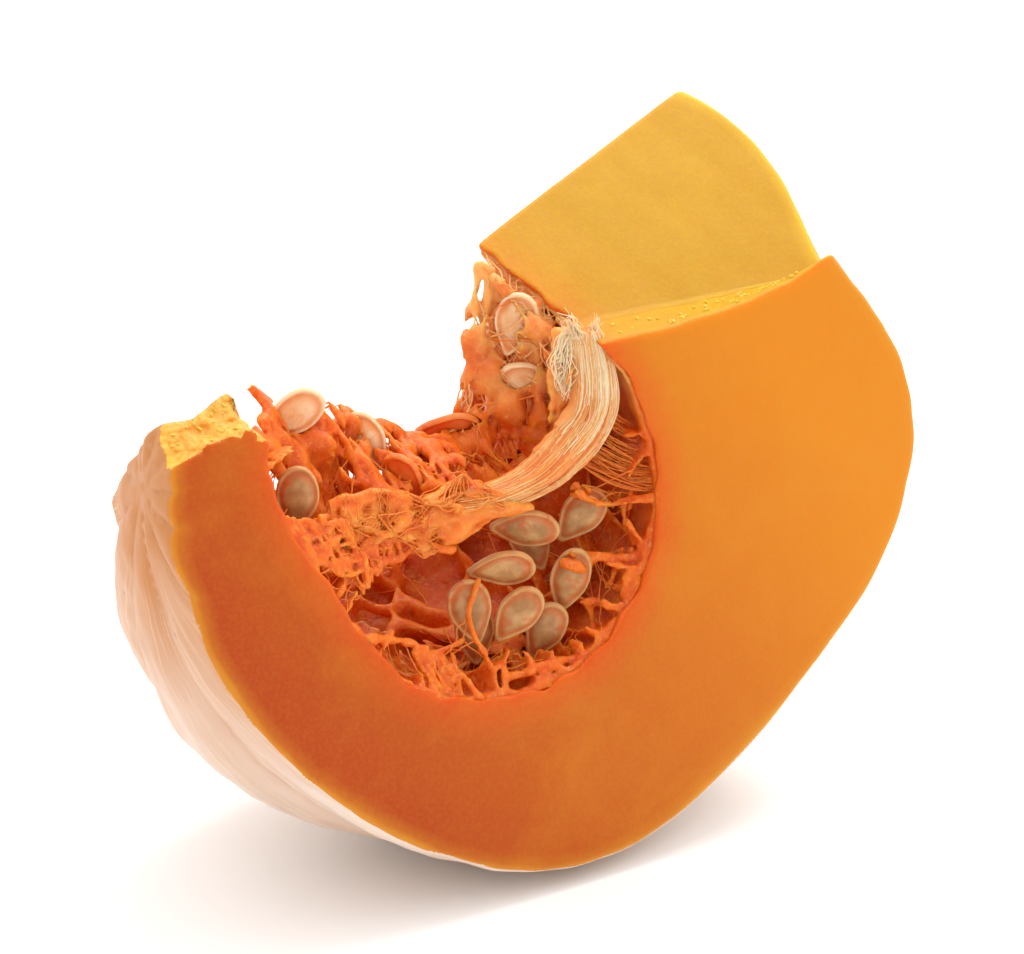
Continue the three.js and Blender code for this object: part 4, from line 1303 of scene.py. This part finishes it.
def seed_coat(name, shell, shade, residue, residue_share, margin):
    """Seed coat with a darker groove inside its rim, an orange rim and scraps of pulp that cling to it."""
    material, tree, shader, where = finish_of(
        name, Subsurface_Weight=0.35, Subsurface_Radius=(1.0, 0.6, 0.35), Subsurface_Scale=0.002, IOR=1.42,
        Coat_Weight=0.15, Coat_Roughness=0.25)
    patch = tree.noise(where, 0.006, 3, 0.55, 0.8)
    broad = tree.noise(where, 0.004, 3, 0.5)
    fine = tree.noise(where, 0.0007, 4, 0.7)
    rim = tree.read("rim")
    colour = tree.mix(tree.spread(broad, 0.35, 0.65), shade, shell)
    colour = tree.mix(tree.spread(fine, 0.4, 0.75, 0, 0.25), colour, shade)
    colour = tree.mix(tree.ramp(rim, [(0.55, 0.0), (0.78, 0.75), (0.84, 0.5), (0.87, 0.0)]), colour, residue)
    colour = tree.mix(tree.ramp(rim, [(0.85, 0.0), (0.9, 0.6), (0.96, 0.6), (1.0, 0.3)]), colour, margin)
    colour = tree.mix(tree.spread(patch, 0.56, 0.66, 0, residue_share), colour, residue)
    feed(tree, shader, Base_Color=colour, Roughness=tree.spread(fine, 0.3, 0.7, 0.38, 0.6))
    feed(tree, shader, Normal=tree.bump(tree.plus(fine, patch), 0.00022, 0.7))
    return material


def floor_paper():
    material, tree, shader, where = finish_of("white_paper", Roughness=0.9, Specular_IOR_Level=0.1)
    soft = tree.noise(where, 0.4, 2)
    feed(tree, shader, Base_Color=tree.mix(tree.spread(soft, 0.3, 0.7), (0.93, 0.93, 0.93, 1), (0.95, 0.95, 0.95, 1)))
    return material


def make_stage():
    size = 8.0
    mesh = mesh_from("paper_floor", [(-size, -size, 0), (size, -size, 0), (size, size, 0), (-size, size, 0)],
                     [(0, 1, 2, 3)])
    mesh.materials.append(floor_paper())
    floor = shown("paper_floor", mesh)
    make_sky()
    area_light("key_above", (0.25, 0.35, 1.0), (0, 0, 0.08), 0.7, 6.0, (1.0, 0.97, 0.92))


# How bright the studio is by direction: overhead, behind, in front, and at the horizon.
SKY_TOP = 1.62
SKY_FRONT = 0.42
SKY_BACK = 1.3


def make_sky():
    """A plain white studio, brightest overhead and behind the piece."""
    world = bpy.data.worlds.new("studio")
    bpy.context.scene.world = world
    world.use_nodes = True
    tree = Tree(world.node_tree)
    way = tree.add("ShaderNodeSeparateXYZ", {0: tree.add("ShaderNodeTexCoord").outputs["Generated"]})
    behind = tree.spread(way.outputs["Y"], -0.7, 0.7, SKY_FRONT, SKY_BACK)
    high = tree.spread(way.outputs["Z"], 0.1, 0.9)
    level = tree.add("ShaderNodeMix", {0: high, 2: behind, 3: SKY_TOP}, data_type="FLOAT").outputs[0]
    back = tree.add("ShaderNodeBackground", {"Color": (1.0, 0.99, 0.98, 1), "Strength": level})
    tree.add("ShaderNodeOutputWorld", {"Surface": back.outputs[0]})


def area_light(name, place, target, size, power, colour):
    lamp = bpy.data.lights.new(name, "AREA")
    lamp.size = size
    lamp.energy = power
    lamp.color = colour
    thing = bpy.data.objects.new(name, lamp)
    thing.location = place
    thing.rotation_euler = (Vector(target) - Vector(place)).to_track_quat("-Z", "Y").to_euler()
    bpy.context.scene.collection.objects.link(thing)


def fan(upper, lower, count, sag, seed, size):
    """Fibres side by side from one line to another, each hanging a little."""
    random = np.random.default_rng(seed)
    lines = []
    for share in np.sort(random.uniform(size=count)):
        a, b = through(upper, np.array([share]))[0], through(lower,
                                                             np.array([share + random.normal() * 0.04]))[0]
        line = between(a, b, 0.04 * np.linalg.norm(b - a), random, 12)
        line[:, 2] -= sag * np.sin(np.linspace(0, math.pi, 12))
        lines.append((line, np.full(12, size * random.uniform(0.6, 1.3))))
    return lines


def clear_of_seeds(p):
    return p[1] > 2.5 and np.linalg.norm((p - (-5, 8, -31)) / (17, 12, 19)) > 1


CAMERA_PLACE = (-0.0054, -0.683565, 0.31932)
CAMERA_ELEVATION = 18.0
CAMERA_LENS = 93.52


def make_camera():
    data = bpy.data.cameras.new("camera")
    data.lens = CAMERA_LENS
    data.sensor_width = 36
    data.sensor_fit = "HORIZONTAL"
    camera = bpy.data.objects.new("camera", data)
    camera.location = CAMERA_PLACE
    camera.rotation_euler = (math.radians(90 - CAMERA_ELEVATION), 0, 0)
    bpy.context.scene.collection.objects.link(camera)
    bpy.context.scene.camera = camera


make_camera()
make_stage()
bpy.context.scene.view_settings.view_transform = "Standard"

# One flesh, toned on each cut for how light falls on it: the front cut's deeper orange is painted shade and the top
# cut's yellow is painted light.
flesh = make_flesh({
    "front": cut_flesh("front_cut_flesh_painted_shade", paint(180, 70, 0), paint(220, 136, 12), paint(214, 150, 40),
                       paint(216, 78, 8), 0.4),
    "top": cut_flesh("top_cut_flesh_painted_light", paint(214, 130, 20), paint(190, 140, 0), paint(228, 186, 40),
                     paint(208, 126, 16), 0.42, 0.7),
    "back": cut_flesh("back_cut_flesh", paint(206, 104, 12), paint(216, 124, 14), paint(226, 160, 50),
                      paint(214, 80, 16), 0.4),
    "hollow": wet_pulp("hollow_wall", paint(170, 50, 12), paint(224, 92, 22), paint(236, 130, 40),
                       paint(244, 176, 90), 0.3),
    "rind": rind_skin(),
})
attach(flesh, "root")
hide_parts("flesh")

ORANGE_PULP = wet_pulp("orange_pulp", paint(160, 40, 4), paint(218, 86, 8), paint(236, 134, 26),
                       paint(252, 206, 124), 0.32)
SHEET_PULP = wet_pulp("bright_pulp", paint(204, 70, 14), paint(230, 108, 24), paint(242, 158, 60),
                      paint(248, 204, 120), 0.35)
BAND_PULP = wet_pulp("pale_fibres", paint(198, 76, 22), paint(224, 118, 44), paint(238, 156, 78),
                     paint(250, 206, 144), 0.3, 0.0015, 0.5)
HAIR = wet_pulp("orange_threads", paint(222, 92, 24), paint(232, 120, 36), paint(242, 160, 72),
                paint(250, 200, 120), 0.4, 0.0003, 0.3)
PALE_HAIR = wet_pulp("pale_threads", paint(236, 150, 74), paint(244, 176, 104), paint(248, 200, 140),
                     paint(254, 232, 196), 0.5, 0.0003, 0.3)
WHITE_HAIR = wet_pulp("white_threads", paint(246, 200, 140), paint(250, 218, 172), paint(252, 230, 196),
                      paint(255, 244, 224), 0.5, 0.0003, 0.3)
room = pulp_space()
for name, form, finish, slot in (
    ("pulp_front", pulp_front, [ORANGE_PULP], "pulp"),
    ("pulp_back", pulp_back, [ORANGE_PULP], "pulp"),
    ("pulp_band", pulp_band, [SHEET_PULP, BAND_PULP], "pulp_pale"),
):
    piece = make_pulp(name + "_tissue", form(*room), finish)
    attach(piece, "root")
    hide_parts(name)

THREADS = [
    ("front_threads", HAIR, "pulp", stretched(CRESTS["pulp_front_tissue"], 420, (3.5, 13), 0.15, 11,
                                              clear_of_seeds)),
    ("back_threads", HAIR, "pulp", stretched(CRESTS["pulp_back_tissue"], 420, (4, 16), 0.18, 12,
                                             clear_of_seeds)),
    ("sheet_threads", HAIR, "pulp_pale", stretched(
        CRESTS["pulp_band_tissue"][CRESTS["pulp_band_tissue"][:, 0] < -10], 520, (2.5,
                                                                                  11), 0.15, 13, clear_of_seeds)),
    ("band_threads", PALE_HAIR, "pulp_pale", strap_threads(70, 14)),
    ("tuft_threads", WHITE_HAIR, "pulp_pale", strap_threads(40, 24, 0.12)
     + tuft((12, 7, 30), (8, 6, 35.5), 2.2, 70, 15) + tuft((15, 5.5, 31), (15.5, 4, 34), 1.6, 40, 16)
     + tuft((9, 10, 30), (7.5, 9, 16), 1.6, 70, 17, 0.2) + tuft((10, 9, 32), (6, 10, 24), 1.4, 40, 20, 0.25)),
    ("pocket_threads", HAIR, "pulp", fan([(20, 9, 12), (17, 10, 2), (11, 10, -4)],
                                         [(31, 8, 4), (31, 5, -6), (30, 4, -14)], 70, 1.6, 18, 0.12)),
    ("upper_threads", PALE_HAIR, "pulp", stretched(
        CRESTS["pulp_back_tissue"][(CRESTS["pulp_back_tissue"][:, 0] > -14) & (CRESTS["pulp_back_tissue"][:, 2] > 4)],
        240, (3, 12), 0.2, 19, clear_of_seeds)),
]
for name, finish, slot, lines in THREADS:
    piece = threads(name, lines, finish)
    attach(piece, "root")

CRUMB = cut_flesh("crumb_flesh", paint(240, 170, 40), paint(244, 196, 70), paint(248, 214, 110),
                  paint(240, 170, 60), 0.4)
CRUMB_FIELDS = [(34, (42, 2), (82, 11)), (12, (14, 2), (44, 10)), (60, (-110, 1), (-80, 12))]
piece = crumbs("knife_crumbs", CRUMB, CRUMB_FIELDS, 21)
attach(piece, "root")

SEED_COATS = {
    "tan": seed_coat("tan_seed", paint(206, 162, 104), paint(170, 120, 66), paint(204, 94, 28), 0.6,
                     paint(216, 160, 92)),
    "pale": seed_coat("pale_seed", paint(244, 212, 168), paint(236, 184, 126), paint(232, 140, 64), 0.4,
                      paint(250, 220, 180)),
    "orange": seed_coat("coated_seed", paint(230, 126, 50), paint(214, 92, 26), paint(224, 92, 22), 0.8,
                        paint(240, 150, 70)),
}
PALE_SEEDS = ("seed_11", "seed_15", "seed_16", "seed_12")
ORANGE_SEEDS = ("seed_14", "seed_13", "seed_17", "seed_18")
for number, name in enumerate(SEEDS):
    kind = "pale" if name in PALE_SEEDS else "orange" if name in ORANGE_SEEDS else "tan"
    piece = make_seed(name, SEED_COATS[kind], 400 + number)
    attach(piece, "root")
    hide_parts(name)
